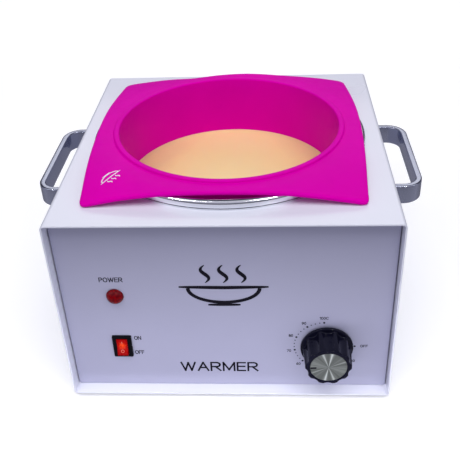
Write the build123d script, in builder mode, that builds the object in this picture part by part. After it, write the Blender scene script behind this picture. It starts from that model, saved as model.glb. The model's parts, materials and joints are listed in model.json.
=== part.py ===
from build123d import *
import math
import os

# Wax warmer: a painted sheet-steel case, a heated well hanging in its top, a lift-out aluminium
# pot, and a silicone liner bowl that holds the wax. Millimetres, +Z up, the control panel faces -Y.

os.makedirs("parts", exist_ok=True)

# ---------------------------------------------------------------- driving dimensions
CASE_W = 250.0            # across the side walls (X)
CASE_D = 257.0            # front edge to rear edge (Y)
CASE_H = 163.0            # underside to top sheet
SHEET = 1.2               # steel sheet of case and panels
CASE_BEND = 3.0           # outer bend radius of the wrap
FOOT_H = 4.0              # rubber feet lift the case off the table
FOOT_R = 10.0
FOOT_COUNTERBORE = 2.4
FOOT_INSET_X = 28.0
FOOT_INSET_Y = 30.0
PANEL_RECESS = 9.6        # panels sit back from the case edges
PANEL_GAP = 0.6           # between a panel's return and the wrap
PANEL_RETURN = 9.0
PANEL_BEND = 1.1
KNOB_REACH = 23.0         # knob front ahead of the front panel

CASE_BOTTOM = FOOT_H
CASE_TOP = FOOT_H + CASE_H
FLOOR_Z = CASE_BOTTOM + SHEET
CASE_Y = (KNOB_REACH - PANEL_RECESS) / 2
PANEL_Y = CASE_Y - CASE_D / 2 + PANEL_RECESS
REAR_Y = CASE_Y + CASE_D / 2 - PANEL_RECESS
WALL_X = CASE_W / 2

# handles: a rounded strap on each side wall
HANDLE_REACH = 27.0
HANDLE_HALF = 52.5
HANDLE_THICK = 4.8
HANDLE_BAND = 16.0
HANDLE_TOP = CASE_TOP - 17.0
HANDLE_CORNER = 16.0
HANDLE_SCREW_R = 1.5

# heated well, pot and liner
WELL_R = 105.0
WELL_WALL = 0.8
WELL_FLOOR = 1.5
WELL_FLANGE_R = 110.4
WELL_FLANGE_T = 1.2
TOP_HOLE_R = 106.4
POT_R = 103.0
POT_WALL = 1.2
RIM_BEAD_R = 3.0
RIM_CENTRE_R = 107.0
LIFT_GAP = 0.3            # loose gap between parts that lift away from each other
LINER_IN_R = 88.8
LINER_OUT_R = 92.0
LINER_SIDE = 208.0
LINER_THICK = 3.0
LINER_CORNER_R = 5.0
LINER_FLAT_R = 110.0      # the flange is flat over the rim, then falls towards its corners
LINER_REACH_R = 146.0
LIP_OUT_R = 93.4
LIP_TOP = CASE_TOP + 13.8
WAX_LEVEL = CASE_TOP - 37.7
WAX_R = 88.4
POT_FLOOR = CASE_TOP - 89.0

WELL_BASE = POT_FLOOR - POT_WALL - LIFT_GAP - WELL_FLOOR
RIM_CENTRE_Z = CASE_TOP + WELL_FLANGE_T + LIFT_GAP + RIM_BEAD_R
FLANGE_UNDER = RIM_CENTRE_Z + RIM_BEAD_R + LIFT_GAP + 1.0
FLANGE_TOP = FLANGE_UNDER + LINER_THICK

# heater and insulation
BAND_T = 1.8
BAND_LOW = CASE_TOP - 82.0
BAND_HIGH = CASE_TOP - 30.0
STRAP_T = 0.8
STRAP_LOW = CASE_TOP - 64.0
STRAP_HIGH = CASE_TOP - 48.0
STRAP_EAR = 13.0
CLAMP_GAP = 9.0
CLAMP_ANGLE = 135.0       # the clamp ears stand in a case corner, where there is room
WRAP_IN_R = 109.0
WRAP_OUT_R = 114.5
WRAP_LOW = CASE_TOP - 88.0
WRAP_HIGH = CASE_TOP - 14.0
WRAP_OPENING = 34.0
BASE_HEATER_R = 80.0
BASE_HEATER_HOLE_R = 30.0
BASE_HEATER_T = 4.0
PRESS_PLATE_R = 72.0
PRESS_PLATE_T = 1.0
BASE_WOOL_R = 71.0
BASE_WOOL_T = 9.0
STUD_R = 3.0
BRIDGE_T = 1.5
BRIDGE_HALF_X = 75.0
BRIDGE_HALF_Y = 30.0
BRIDGE_FOOT = 15.0

# controls on the front panel
KNOB_X = 75.6
KNOB_Z = CASE_BOTTOM + 43.8
KNOB_SKIRT_R = 20.1
KNOB_BODY_R = 18.4
KNOB_FRONT_R = 17.3
KNOB_GAP = 1.0
KNOB_SKIRT_T = 2.4
KNOB_FLUTES = 10
FLUTE_R = 7.0
FLUTE_DEPTH = 1.3
CAP_R = 13.8
CAP_T = 0.8
SPINDLE_R = 3.0
RUNNING_FIT = 0.05
LAMP_X = -82.5
LAMP_Z = CASE_BOTTOM + 93.5
LAMP_R = 6.65
LAMP_BODY_R = 5.0
LAMP_LENGTH = 24.0
SWITCH_X = -82.4
SWITCH_Z = CASE_BOTTOM + 43.6
BEZEL_W = 15.0
BEZEL_H = 21.0
BEZEL_T = 2.0
SWITCH_W = 13.0
SWITCH_H = 19.0
SWITCH_DEEP = 16.0
SWITCH_TAB = 8.0
ROCKER_W = 8.2
ROCKER_R = 8.0
ROCKER_TILT = 7.5

WIRE_R = 1.2

# mains inlet on the rear panel
INLET_X = -80.0
INLET_Z = CASE_BOTTOM + 40.0
INLET_FLANGE_W = 50.0
INLET_FLANGE_H = 24.0
INLET_FLANGE_T = 3.0
INLET_W = 27.0
INLET_H = 19.8
INLET_DEEP = 22.0
INLET_TAB = 7.0
INLET_SCREW_PITCH = 40.0


# ---------------------------------------------------------------- helpers
def level(z, x=0.0, y=CASE_Y):
    """A horizontal plane at height z, centred on the case unless told otherwise."""
    return Plane(origin=(x, y, z), x_dir=(1, 0, 0), z_dir=(0, 0, 1))


def facing_front(y, x=0.0, z=0.0):
    """A vertical plane whose normal points out of the front of the case."""
    return Plane(origin=(x, y, z), x_dir=(1, 0, 0), z_dir=(0, -1, 0))


def facing_rear(y, x=0.0, z=0.0):
    """A vertical plane whose normal points out of the back of the case."""
    return Plane(origin=(x, y, z), x_dir=(-1, 0, 0), z_dir=(0, 1, 0))


def facing_down(z, x, y):
    """A horizontal plane whose normal points to the table."""
    return Plane(origin=(x, y, z), x_dir=(1, 0, 0), z_dir=(0, 0, -1))


def facing_side(x, y, z, side):
    """A vertical plane whose normal points to +X (side 1) or -X (side -1)."""
    return Plane(origin=(x, y, z), x_dir=(0, side, 0), z_dir=(side, 0, 0))


def half_section():
    """The plane that sections are drawn on: its x is the radius from the pot's axis, its y is Z."""
    return Plane(origin=(0, CASE_Y, 0), x_dir=(1, 0, 0), z_dir=(0, -1, 0))


POT_AXIS = Axis((0, CASE_Y, 0), (0, 0, 1))


def save(node, name):
    node.part.label = name
    export_step(node.part, f"parts/{name}.step")


def on_circle(radius, degrees):
    turn = math.radians(degrees)
    return radius * math.cos(turn), CASE_Y + radius * math.sin(turn)


foot_places = [
    (side * (WALL_X - FOOT_INSET_X), CASE_Y + end * (CASE_D / 2 - FOOT_INSET_Y))
    for side in (-1, 1)
    for end in (-1, 1)
]
handle_screw_z = HANDLE_TOP - HANDLE_BAND / 2
handle_leg_y = HANDLE_HALF - HANDLE_THICK / 2
bridge_screw_places = [
    (side * (BRIDGE_HALF_X + BRIDGE_FOOT / 2), CASE_Y + end * BRIDGE_HALF_Y * 0.6)
    for side in (-1, 1)
    for end in (-1, 1)
]
front_screw_places = [(x, PANEL_Y + PANEL_RETURN * 0.6) for x in (-90.0, 0.0, 90.0)]
rear_screw_heights = (CASE_BOTTOM + 30.0, CASE_BOTTOM + 125.0)
rear_screw_y = REAR_Y - PANEL_RETURN * 0.6
EARTH_PLACE = (-52.0, CASE_Y + 72.0)
EARTH_BOLT_L = 13.0
BLOCK_PLACE = (20.0, CASE_Y + 70.0)
BLOCK_W = 34.0
BLOCK_D = 18.0
BLOCK_H = 15.0
BLOCK_PORT_Z = FLOOR_Z + 8.0
BLOCK_PORT_X = 11.0

# ---------------------------------------------------------------- case wrap
with BuildPart() as case_wrap:
    with BuildSketch(facing_front(CASE_Y - CASE_D / 2, z=CASE_BOTTOM + CASE_H / 2)):
        RectangleRounded(CASE_W, CASE_H, CASE_BEND)
        RectangleRounded(CASE_W - 2 * SHEET, CASE_H - 2 * SHEET, CASE_BEND - SHEET, mode=Mode.SUBTRACT)
    extrude(amount=-CASE_D)
    with BuildSketch(level(CASE_TOP - 2 * SHEET)):
        Circle(TOP_HOLE_R)
    extrude(amount=3 * SHEET, mode=Mode.SUBTRACT)
    for x, y in foot_places + bridge_screw_places + [EARTH_PLACE, BLOCK_PLACE]:
        with BuildSketch(level(CASE_BOTTOM - 1, x, y)):
            Circle(1.9)
        extrude(amount=3 * SHEET, mode=Mode.SUBTRACT)
    for x, y in front_screw_places:
        with BuildSketch(level(CASE_BOTTOM - 1, x, y)):
            Circle(1.6)
        extrude(amount=3 * SHEET, mode=Mode.SUBTRACT)
    for side in (-1, 1):
        for end in (-1, 1):
            wall = facing_side(side * (WALL_X - 3), CASE_Y + end * handle_leg_y, handle_screw_z, side)
            with BuildSketch(wall):
                Circle(HANDLE_SCREW_R + 0.2)
            extrude(amount=5, mode=Mode.SUBTRACT)
        for z in rear_screw_heights:
            with BuildSketch(facing_side(side * (WALL_X - 3), rear_screw_y, z, side)):
                Circle(1.6)
            extrude(amount=5, mode=Mode.SUBTRACT)
save(case_wrap, "case_wrap")

# ---------------------------------------------------------------- front panel
panel_w = CASE_W - 2 * SHEET - 2 * PANEL_GAP
panel_h = CASE_H - 2 * SHEET - PANEL_GAP
panel_mid_z = FLOOR_Z + panel_h / 2


def panel_blank(plane):
    """A shallow tray of sheet: a face with returns on its four sides, open at the back."""
    with BuildSketch(plane) as outline:
        RectangleRounded(panel_w, panel_h, CASE_BEND - SHEET)
    extrude(outline.sketch, amount=-PANEL_RETURN)
    face = faces().filter_by(lambda each: each.normal_at().dot(plane.z_dir) > 0.99)[0]
    fillet(face.edges(), PANEL_BEND)
    with BuildSketch(plane.offset(-SHEET)) as hollow:
        RectangleRounded(panel_w - 2 * SHEET, panel_h - 2 * SHEET, CASE_BEND - SHEET)
    extrude(hollow.sketch, amount=-PANEL_RETURN, mode=Mode.SUBTRACT)


with BuildPart() as front_panel:
    panel_blank(facing_front(PANEL_Y, z=panel_mid_z))
    with BuildSketch(facing_front(PANEL_Y)):
        with Locations((LAMP_X, LAMP_Z)):
            Circle(LAMP_BODY_R + 0.2)
        with Locations((SWITCH_X, SWITCH_Z)):
            Rectangle(SWITCH_W + 0.3, SWITCH_H + 0.3)
        with Locations((KNOB_X, KNOB_Z)):
            Circle(5.3)
        with Locations((KNOB_X - 14, KNOB_Z), (KNOB_X + 14, KNOB_Z)):
            Circle(1.6)
    extrude(amount=-3 * SHEET, mode=Mode.SUBTRACT)
    for x, y in front_screw_places:
        with BuildSketch(level(FLOOR_Z - 1, x, y)):
            Circle(1.55)
        extrude(amount=3 * SHEET, mode=Mode.SUBTRACT)
save(front_panel, "front_panel")

# ---------------------------------------------------------------- rear panel with its vents
VENT_W = 3.0
VENT_H = 26.0
VENT_PITCH = 8.0
with BuildPart() as rear_panel:
    panel_blank(facing_rear(REAR_Y, z=panel_mid_z))
    with BuildSketch(facing_rear(REAR_Y)):
        with Locations((-INLET_X, INLET_Z)):
            Rectangle(INLET_W + 0.4, INLET_H + 0.4)
        with Locations((-INLET_X, INLET_Z)):
            with GridLocations(INLET_SCREW_PITCH, 1, 2, 1):
                Circle(1.6)
        for row_z in (CASE_BOTTOM + 42.0, CASE_BOTTOM + 122.0):
            row_x = -28.0 if row_z < CASE_BOTTOM + 80 else 0.0
            with Locations((row_x, row_z)):
                with GridLocations(VENT_PITCH, 1, 9, 1):
                    SlotOverall(VENT_H, VENT_W, rotation=90)
    extrude(amount=-3 * SHEET, mode=Mode.SUBTRACT)
    for side in (-1, 1):
        for z in rear_screw_heights:
            with BuildSketch(facing_side(side * (WALL_X - 6), rear_screw_y, z, side)):
                Circle(1.55)
            extrude(amount=8, mode=Mode.SUBTRACT)
save(rear_panel, "rear_panel")


# ---------------------------------------------------------------- screws
def pan_screw(plane, shank_r, length, head_r, head_t):
    """A cross-head pan screw: the head stands on the plane, the shank runs back through it."""
    with BuildSketch(plane) as head:
        Circle(head_r)
    extrude(head.sketch, amount=head_t)
    with BuildSketch(plane) as shank:
        Circle(shank_r)
    extrude(shank.sketch, amount=-length)
    with BuildSketch(plane.offset(head_t)) as recess:
        Rectangle(head_r * 1.3, head_r * 0.28)
        Rectangle(head_r * 0.28, head_r * 1.3)
    extrude(recess.sketch, amount=-head_t * 0.55, mode=Mode.SUBTRACT)


with BuildPart() as rear_panel_screws:
    for side in (-1, 1):
        for z in rear_screw_heights:
            pan_screw(facing_side(side * WALL_X, rear_screw_y, z, side), 1.5, 6.0, 3.0, 1.8)
save(rear_panel_screws, "rear_panel_screws")

with BuildPart() as floor_screws:
    for x, y in front_screw_places + bridge_screw_places:
        pan_screw(facing_down(CASE_BOTTOM, x, y), 1.5, 6.0, 3.0, 1.8)
save(floor_screws, "floor_screws")

# ---------------------------------------------------------------- handles
HANDLE_EDGE = 0.9


def strap_outline(side, inset):
    """The handle's outline from above, with its two outer corners rounded."""
    reach = HANDLE_REACH - inset
    with Locations((side * (WALL_X + reach / 2), 0)):
        Rectangle(reach, 2 * (HANDLE_HALF - inset))
    fillet(vertices().group_by(Axis.X)[-1 if side > 0 else 0], HANDLE_CORNER - inset)


def handle_strap(side):
    with BuildSketch(level(HANDLE_TOP - HANDLE_BAND)) as outside:
        strap_outline(side, 0)
    extrude(outside.sketch, amount=HANDLE_BAND)
    with BuildSketch(level(HANDLE_TOP - HANDLE_BAND)) as grip:
        strap_outline(side, HANDLE_THICK)
    extrude(grip.sketch, amount=HANDLE_BAND, mode=Mode.SUBTRACT)
    fillet(edges().group_by(Axis.Z)[-1] + edges().group_by(Axis.Z)[0], HANDLE_EDGE)
    for end in (-1, 1):
        wall = facing_side(side * WALL_X, CASE_Y + end * handle_leg_y, handle_screw_z, side)
        with BuildSketch(wall) as hole:
            Circle(HANDLE_SCREW_R + 0.02)
        extrude(hole.sketch, amount=9.0, mode=Mode.SUBTRACT)


for side, name in ((-1, "handle_left"), (1, "handle_right")):
    with BuildPart() as handle:
        handle_strap(side)
    save(handle, name)

with BuildPart() as handle_screws:
    for side in (-1, 1):
        for end in (-1, 1):
            leg_y = CASE_Y + end * handle_leg_y
            inside = facing_side(side * (WALL_X - SHEET), leg_y, handle_screw_z, -side)
            pan_screw(inside, HANDLE_SCREW_R, 9.0, 3.0, 2.0)
save(handle_screws, "handle_screws")

# ---------------------------------------------------------------- feet and their fasteners
foot_names = ("foot_front_left", "foot_rear_left", "foot_front_right", "foot_rear_right")
for (x, y), name in zip(foot_places, foot_names):
    with BuildPart() as foot:
        with BuildSketch(level(0, x, y)):
            Circle(FOOT_R - 1)
        with BuildSketch(level(FOOT_H, x, y)):
            Circle(FOOT_R)
        loft()
        with BuildSketch(level(0, x, y)):
            Circle(4.2)
        extrude(amount=FOOT_COUNTERBORE, mode=Mode.SUBTRACT)
        with BuildSketch(level(0, x, y)):
            Circle(1.9)
        extrude(amount=FOOT_H, mode=Mode.SUBTRACT)
    save(foot, name)

with BuildPart() as foot_screws:
    for x, y in foot_places:
        pan_screw(facing_down(FOOT_COUNTERBORE, x, y), 1.75, 7.0, 3.5, 1.6)
save(foot_screws, "foot_screws")

nut_places = [(x, y, FLOOR_Z) for x, y in foot_places]
nut_places.append((*EARTH_PLACE, FLOOR_Z))
nut_places.append((*BLOCK_PLACE, FLOOR_Z + BLOCK_H))
with BuildPart() as case_nuts:
    for x, y, z in nut_places:
        with BuildSketch(level(z, x, y)):
            RegularPolygon(3.6, 6)
            Circle(1.8, mode=Mode.SUBTRACT)
        extrude(amount=2.4)
save(case_nuts, "case_nuts")

# ---------------------------------------------------------------- heating well
with BuildPart() as heating_well:
    with BuildSketch(half_section()):
        with BuildLine():
            Polyline(
                (0, WELL_BASE),
                (WELL_R + WELL_WALL, WELL_BASE),
                (WELL_R + WELL_WALL, CASE_TOP),
                (WELL_FLANGE_R, CASE_TOP),
                (WELL_FLANGE_R, CASE_TOP + WELL_FLANGE_T),
                (WELL_R, CASE_TOP + WELL_FLANGE_T),
                (WELL_R, WELL_BASE + WELL_FLOOR),
                (0, WELL_BASE + WELL_FLOOR),
                close=True,
            )
        make_face()
        fillet(vertices().filter_by_position(Axis.X, WELL_R, WELL_R).sort_by(Axis.Y)[0], 5.0)
        fillet(vertices().filter_by_position(Axis.X, WELL_R + 0.5, WELL_R + 1).sort_by(Axis.Y)[0], 5.8)
    revolve(axis=POT_AXIS)
    with BuildSketch(level(WELL_BASE)):
        Circle(STUD_R)
    extrude(amount=-22.0)
save(heating_well, "heating_well")


# ---------------------------------------------------------------- band heater and its strap
def clamp_ring(inner, outer, low, high, gap):
    """A ring round the well with a gap on the clamp's side."""
    with BuildSketch(level(low)) as ring:
        Circle(outer)
        Circle(inner, mode=Mode.SUBTRACT)
        with Locations(Location((0, 0, 0), (0, 0, CLAMP_ANGLE))):
            with Locations((outer, 0)):
                Rectangle(outer, gap, mode=Mode.SUBTRACT)
    extrude(ring.sketch, amount=high - low)


band_in = WELL_R + WELL_WALL
band_out = band_in + BAND_T
strap_out = band_out + STRAP_T

with BuildPart() as heater_band:
    clamp_ring(band_in, band_out, BAND_LOW, BAND_HIGH, CLAMP_GAP)
save(heater_band, "heater_band")

clamp_plane_x = (math.cos(math.radians(CLAMP_ANGLE)), math.sin(math.radians(CLAMP_ANGLE)), 0)
strap_mid = (STRAP_LOW + STRAP_HIGH) / 2
ear_centre = strap_out + STRAP_EAR * 0.6


def clamp_level(z):
    """A horizontal plane whose x axis runs out along the clamp's ears."""
    return Plane(origin=(0, CASE_Y, z), x_dir=clamp_plane_x, z_dir=(0, 0, 1))


def clamp_across():
    """The plane square to the clamp bolt, at its middle."""
    middle = on_circle(ear_centre, CLAMP_ANGLE)
    along = (-clamp_plane_x[1], clamp_plane_x[0], 0)
    return Plane(origin=(middle[0], middle[1], strap_mid), x_dir=(0, 0, 1), z_dir=along)


with BuildPart() as heater_strap:
    clamp_ring(band_out, strap_out, STRAP_LOW, STRAP_HIGH, CLAMP_GAP)
    for edge in (-1, 1):
        with BuildSketch(clamp_level(STRAP_LOW)):
            with Locations(((band_out + strap_out + STRAP_EAR) / 2, edge * (CLAMP_GAP + 1.6) / 2)):
                Rectangle(STRAP_T + STRAP_EAR, 1.6)
        extrude(amount=STRAP_HIGH - STRAP_LOW)
    with BuildSketch(clamp_across()):
        Circle(2.2)
    extrude(amount=20, both=True, mode=Mode.SUBTRACT)
save(heater_strap, "heater_strap")

ear_face = CLAMP_GAP / 2 + 1.6
with BuildPart() as strap_bolt:
    pan_screw(clamp_across().offset(ear_face), 2.0, 2 * ear_face + 6.0, 3.8, 2.4)
save(strap_bolt, "strap_bolt")

with BuildPart() as strap_nut:
    with BuildSketch(clamp_across().offset(-ear_face)):
        RegularPolygon(4.0, 6)
        Circle(2.05, mode=Mode.SUBTRACT)
    extrude(amount=-3.2)
save(strap_nut, "strap_nut")

# ---------------------------------------------------------------- insulation
with BuildPart() as insulation_wrap:
    clamp_ring(WRAP_IN_R, WRAP_OUT_R, WRAP_LOW, WRAP_HIGH, WRAP_OPENING)
save(insulation_wrap, "insulation_wrap")

base_heater_low = WELL_BASE - BASE_HEATER_T
press_plate_low = base_heater_low - PRESS_PLATE_T
base_wool_low = press_plate_low - BASE_WOOL_T
bridge_low = base_wool_low - BRIDGE_T


def stud_disc(z, thick, radius, hole):
    """A disc, lying at z, with a hole round the well's stud."""
    with BuildSketch(level(z)) as disc:
        Circle(radius)
        Circle(hole, mode=Mode.SUBTRACT)
    extrude(disc.sketch, amount=thick)


with BuildPart() as base_heater:
    stud_disc(base_heater_low, BASE_HEATER_T, BASE_HEATER_R, BASE_HEATER_HOLE_R)
save(base_heater, "base_heater")

with BuildPart() as pressure_plate:
    stud_disc(press_plate_low, PRESS_PLATE_T, PRESS_PLATE_R, STUD_R + 0.3)
save(pressure_plate, "pressure_plate")

with BuildPart() as insulation_base:
    stud_disc(base_wool_low, BASE_WOOL_T, BASE_WOOL_R, STUD_R + 1.0)
save(insulation_base, "insulation_base")

# ---------------------------------------------------------------- bridge that carries the well
bridge_side = Plane(origin=(0, CASE_Y + BRIDGE_HALF_Y, 0), x_dir=(1, 0, 0), z_dir=(0, -1, 0))
with BuildPart() as well_bridge:
    with BuildSketch(bridge_side):
        with BuildLine():
            outer_x = BRIDGE_HALF_X + BRIDGE_T
            foot_x = BRIDGE_HALF_X + BRIDGE_FOOT
            Polyline(
                (-foot_x, FLOOR_Z),
                (-BRIDGE_HALF_X, FLOOR_Z),
                (-BRIDGE_HALF_X, bridge_low),
                (BRIDGE_HALF_X, bridge_low),
                (BRIDGE_HALF_X, FLOOR_Z),
                (foot_x, FLOOR_Z),
                (foot_x, FLOOR_Z + BRIDGE_T),
                (outer_x, FLOOR_Z + BRIDGE_T),
                (outer_x, bridge_low + BRIDGE_T),
                (-outer_x, bridge_low + BRIDGE_T),
                (-outer_x, FLOOR_Z + BRIDGE_T),
                (-foot_x, FLOOR_Z + BRIDGE_T),
                close=True,
            )
        make_face()
    extrude(amount=2 * BRIDGE_HALF_Y)
    with BuildSketch(level(bridge_low)):
        Circle(STUD_R + 0.3)
    extrude(amount=BRIDGE_T, mode=Mode.SUBTRACT)
    for x, y in bridge_screw_places:
        with BuildSketch(level(FLOOR_Z, x, y)):
            Circle(1.55)
        extrude(amount=BRIDGE_T, mode=Mode.SUBTRACT)
save(well_bridge, "well_bridge")

with BuildPart() as well_nut:
    with BuildSketch(level(bridge_low)):
        RegularPolygon(5.8, 6)
        Circle(STUD_R + 0.05, mode=Mode.SUBTRACT)
    extrude(amount=-4.8)
save(well_nut, "well_nut")

# ---------------------------------------------------------------- lift-out pot
with BuildPart() as wax_pot:
    with BuildSketch(half_section()):
        with BuildLine():
            Polyline(
                (0, POT_FLOOR - POT_WALL),
                (POT_R + POT_WALL, POT_FLOOR - POT_WALL),
                (POT_R + POT_WALL, RIM_CENTRE_Z),
                (POT_R, RIM_CENTRE_Z),
                (POT_R, POT_FLOOR),
                (0, POT_FLOOR),
                close=True,
            )
        make_face()
        fillet(vertices().filter_by_position(Axis.X, POT_R, POT_R).sort_by(Axis.Y)[0], 7.0)
        fillet(vertices().filter_by_position(Axis.X, POT_R + 1, POT_R + 2).sort_by(Axis.Y)[0], 8.2)
        with Locations((RIM_CENTRE_R, RIM_CENTRE_Z)):
            Circle(RIM_BEAD_R)
        with BuildLine():
            Polyline(
                (POT_R, RIM_CENTRE_Z - 0.5),
                (RIM_CENTRE_R, RIM_CENTRE_Z - 0.5),
                (RIM_CENTRE_R, RIM_CENTRE_Z + RIM_BEAD_R),
                (POT_R + 2.0, RIM_CENTRE_Z + RIM_BEAD_R),
                (POT_R, RIM_CENTRE_Z),
                close=True,
            )
        make_face()
    revolve(axis=POT_AXIS)
save(wax_pot, "wax_pot")

# ---------------------------------------------------------------- silicone liner and the wax in it
liner_under = POT_FLOOR + LIFT_GAP
liner_floor = liner_under + LINER_THICK
with BuildPart() as silicone_liner:
    with BuildSketch(half_section()):
        with BuildLine():
            Polyline(
                (0, liner_under),
                (LINER_OUT_R, liner_under),
                (LINER_OUT_R, FLANGE_UNDER),
                (LINER_FLAT_R, FLANGE_UNDER),
                (LINER_REACH_R, CASE_TOP + LIFT_GAP),
                (LINER_REACH_R, CASE_TOP + LIFT_GAP + LINER_THICK),
                (LINER_FLAT_R, FLANGE_TOP),
                (LIP_OUT_R, FLANGE_TOP),
                (LIP_OUT_R, LIP_TOP),
                (LINER_IN_R, LIP_TOP),
                (WAX_R, WAX_LEVEL),
                (WAX_R, liner_floor),
                (0, liner_floor),
                close=True,
            )
        make_face()
        fillet(vertices().filter_by_position(Axis.X, LINER_OUT_R, LINER_OUT_R).sort_by(Axis.Y)[0], 10.0)
        fillet(vertices().filter_by_position(Axis.X, WAX_R, WAX_R).sort_by(Axis.Y)[0], 8.0)
        fillet(vertices().filter_by_position(Axis.X, LINER_FLAT_R, LINER_FLAT_R), 12.0)
        lip_corners = vertices().filter_by_position(Axis.Y, LIP_TOP, LIP_TOP)
        fillet(lip_corners, 1.8)
    revolve(axis=POT_AXIS)
    with BuildSketch(level(liner_under - 5)):
        RectangleRounded(LINER_SIDE, LINER_SIDE, LINER_CORNER_R)
    extrude(amount=CASE_H, mode=Mode.INTERSECT)
save(silicone_liner, "silicone_liner")

WAX_CLEAR = 0.05
with BuildPart() as wax_fill:
    with BuildSketch(half_section()):
        with BuildLine():
            Polyline(
                (0, liner_floor + WAX_CLEAR),
                (WAX_R - WAX_CLEAR, liner_floor + WAX_CLEAR),
                (WAX_R - WAX_CLEAR, WAX_LEVEL),
                (0, WAX_LEVEL),
                close=True,
            )
        make_face()
        fillet(vertices().group_by(Axis.X)[-1].sort_by(Axis.Y)[0], 8.0)
    revolve(axis=POT_AXIS)
save(wax_fill, "wax_fill")

# ---------------------------------------------------------------- thermostat behind the knob
THERMOSTAT_W = 32.0
THERMOSTAT_DEEP = 22.0
THERMOSTAT_PLATE = 1.5
THERMOSTAT_TAB = 7.0
NECK_R = 5.0
THERMOSTAT_SCREW = 14.0
INSIDE_Y = PANEL_Y + SHEET
FLAT_DEPTH = 0.6          # the spindle's D flat

with BuildPart() as thermostat_body:
    with BuildSketch(facing_front(INSIDE_Y)):
        with Locations((KNOB_X, KNOB_Z)):
            Rectangle(THERMOSTAT_W + 6, 18)
    extrude(amount=-THERMOSTAT_PLATE)
    with BuildSketch(facing_front(INSIDE_Y + THERMOSTAT_PLATE)):
        with Locations((KNOB_X, KNOB_Z)):
            RectangleRounded(THERMOSTAT_W, THERMOSTAT_W, 3)
    extrude(amount=-THERMOSTAT_DEEP)
    with BuildSketch(facing_front(INSIDE_Y)):
        with Locations((KNOB_X, KNOB_Z)):
            Circle(NECK_R)
    extrude(amount=SHEET + 0.6)
    for x in (KNOB_X - 8, KNOB_X + 8):
        with BuildSketch(facing_front(INSIDE_Y + THERMOSTAT_PLATE + THERMOSTAT_DEEP)):
            with Locations((x, KNOB_Z - 6)):
                Rectangle(6.3, 0.8)
        extrude(amount=-THERMOSTAT_TAB)
    with BuildSketch(facing_front(PANEL_Y - 2)):
        with Locations((KNOB_X, KNOB_Z)):
            Circle(SPINDLE_R + RUNNING_FIT)
    extrude(amount=-(SHEET + 16.0), mode=Mode.SUBTRACT)
    with BuildSketch(facing_front(INSIDE_Y)):
        with Locations((KNOB_X - THERMOSTAT_SCREW, KNOB_Z), (KNOB_X + THERMOSTAT_SCREW, KNOB_Z)):
            Circle(1.52)
    extrude(amount=-8.0, mode=Mode.SUBTRACT)
save(thermostat_body, "thermostat_body")

with BuildPart() as thermostat_screws:
    for x in (KNOB_X - THERMOSTAT_SCREW, KNOB_X + THERMOSTAT_SCREW):
        pan_screw(facing_front(PANEL_Y, x, KNOB_Z), 1.5, 7.0, 2.8, 1.6)
save(thermostat_screws, "thermostat_screws")

spindle_tip = PANEL_Y - KNOB_REACH + 4.0
with BuildPart() as thermostat_spindle:
    with BuildSketch(facing_front(PANEL_Y + 12.0)):
        with Locations((KNOB_X, KNOB_Z)):
            Circle(SPINDLE_R)
    extrude(amount=PANEL_Y + 12.0 - spindle_tip)
    with BuildSketch(facing_front(PANEL_Y - KNOB_GAP - 4.0)):
        with Locations((KNOB_X, KNOB_Z - SPINDLE_R)):
            Rectangle(2 * SPINDLE_R, 2 * FLAT_DEPTH)
    extrude(amount=KNOB_REACH, mode=Mode.SUBTRACT)
save(thermostat_spindle, "thermostat_spindle")

# ---------------------------------------------------------------- knob
knob_back = PANEL_Y - KNOB_GAP
knob_face = PANEL_Y - KNOB_REACH
GRUB_DEPTH = 9.0          # ahead of the panel
with BuildPart() as knob_body:
    with BuildSketch(facing_front(knob_back, KNOB_X, KNOB_Z)):
        Circle(KNOB_SKIRT_R)
    extrude(amount=KNOB_SKIRT_T)
    fillet(edges().group_by(Axis.Y)[0], 1.0)
    with BuildSketch(facing_front(knob_back, KNOB_X, KNOB_Z)):
        Circle(KNOB_BODY_R)
    with BuildSketch(facing_front(knob_face, KNOB_X, KNOB_Z)):
        Circle(KNOB_FRONT_R)
    loft()
    fillet(edges().group_by(Axis.Y)[0], 0.8)
    with BuildSketch(facing_front(knob_back - KNOB_SKIRT_T, KNOB_X, KNOB_Z)):
        with PolarLocations(KNOB_FRONT_R + FLUTE_R - FLUTE_DEPTH, KNOB_FLUTES, start_angle=18):
            Circle(FLUTE_R)
    extrude(amount=KNOB_REACH, mode=Mode.SUBTRACT)
    with BuildSketch(facing_front(knob_back, KNOB_X, KNOB_Z)):
        Circle(KNOB_BODY_R - 1.6)
        Circle(SPINDLE_R + 2.6, mode=Mode.SUBTRACT)
    extrude(amount=3.0, mode=Mode.SUBTRACT)
    with BuildSketch(facing_front(knob_face, KNOB_X, KNOB_Z)):
        Circle(CAP_R + 0.03)
    extrude(amount=-(CAP_T + 0.2), mode=Mode.SUBTRACT)
    with BuildSketch(facing_front(knob_back, KNOB_X, KNOB_Z)):
        Circle(SPINDLE_R + 0.02)
    extrude(amount=KNOB_REACH - KNOB_GAP - 3.6, mode=Mode.SUBTRACT)
    with BuildSketch(facing_down(KNOB_Z, KNOB_X, PANEL_Y - GRUB_DEPTH)):
        Circle(1.5)
    extrude(amount=KNOB_SKIRT_R, mode=Mode.SUBTRACT)
save(knob_body, "knob_body")

with BuildPart() as knob_cap:
    with BuildSketch(facing_front(knob_face + CAP_T + 0.2, KNOB_X, KNOB_Z)):
        Circle(CAP_R)
    extrude(amount=CAP_T)
    fillet(edges().group_by(Axis.Y)[0], 0.3)
save(knob_cap, "knob_cap")

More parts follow.
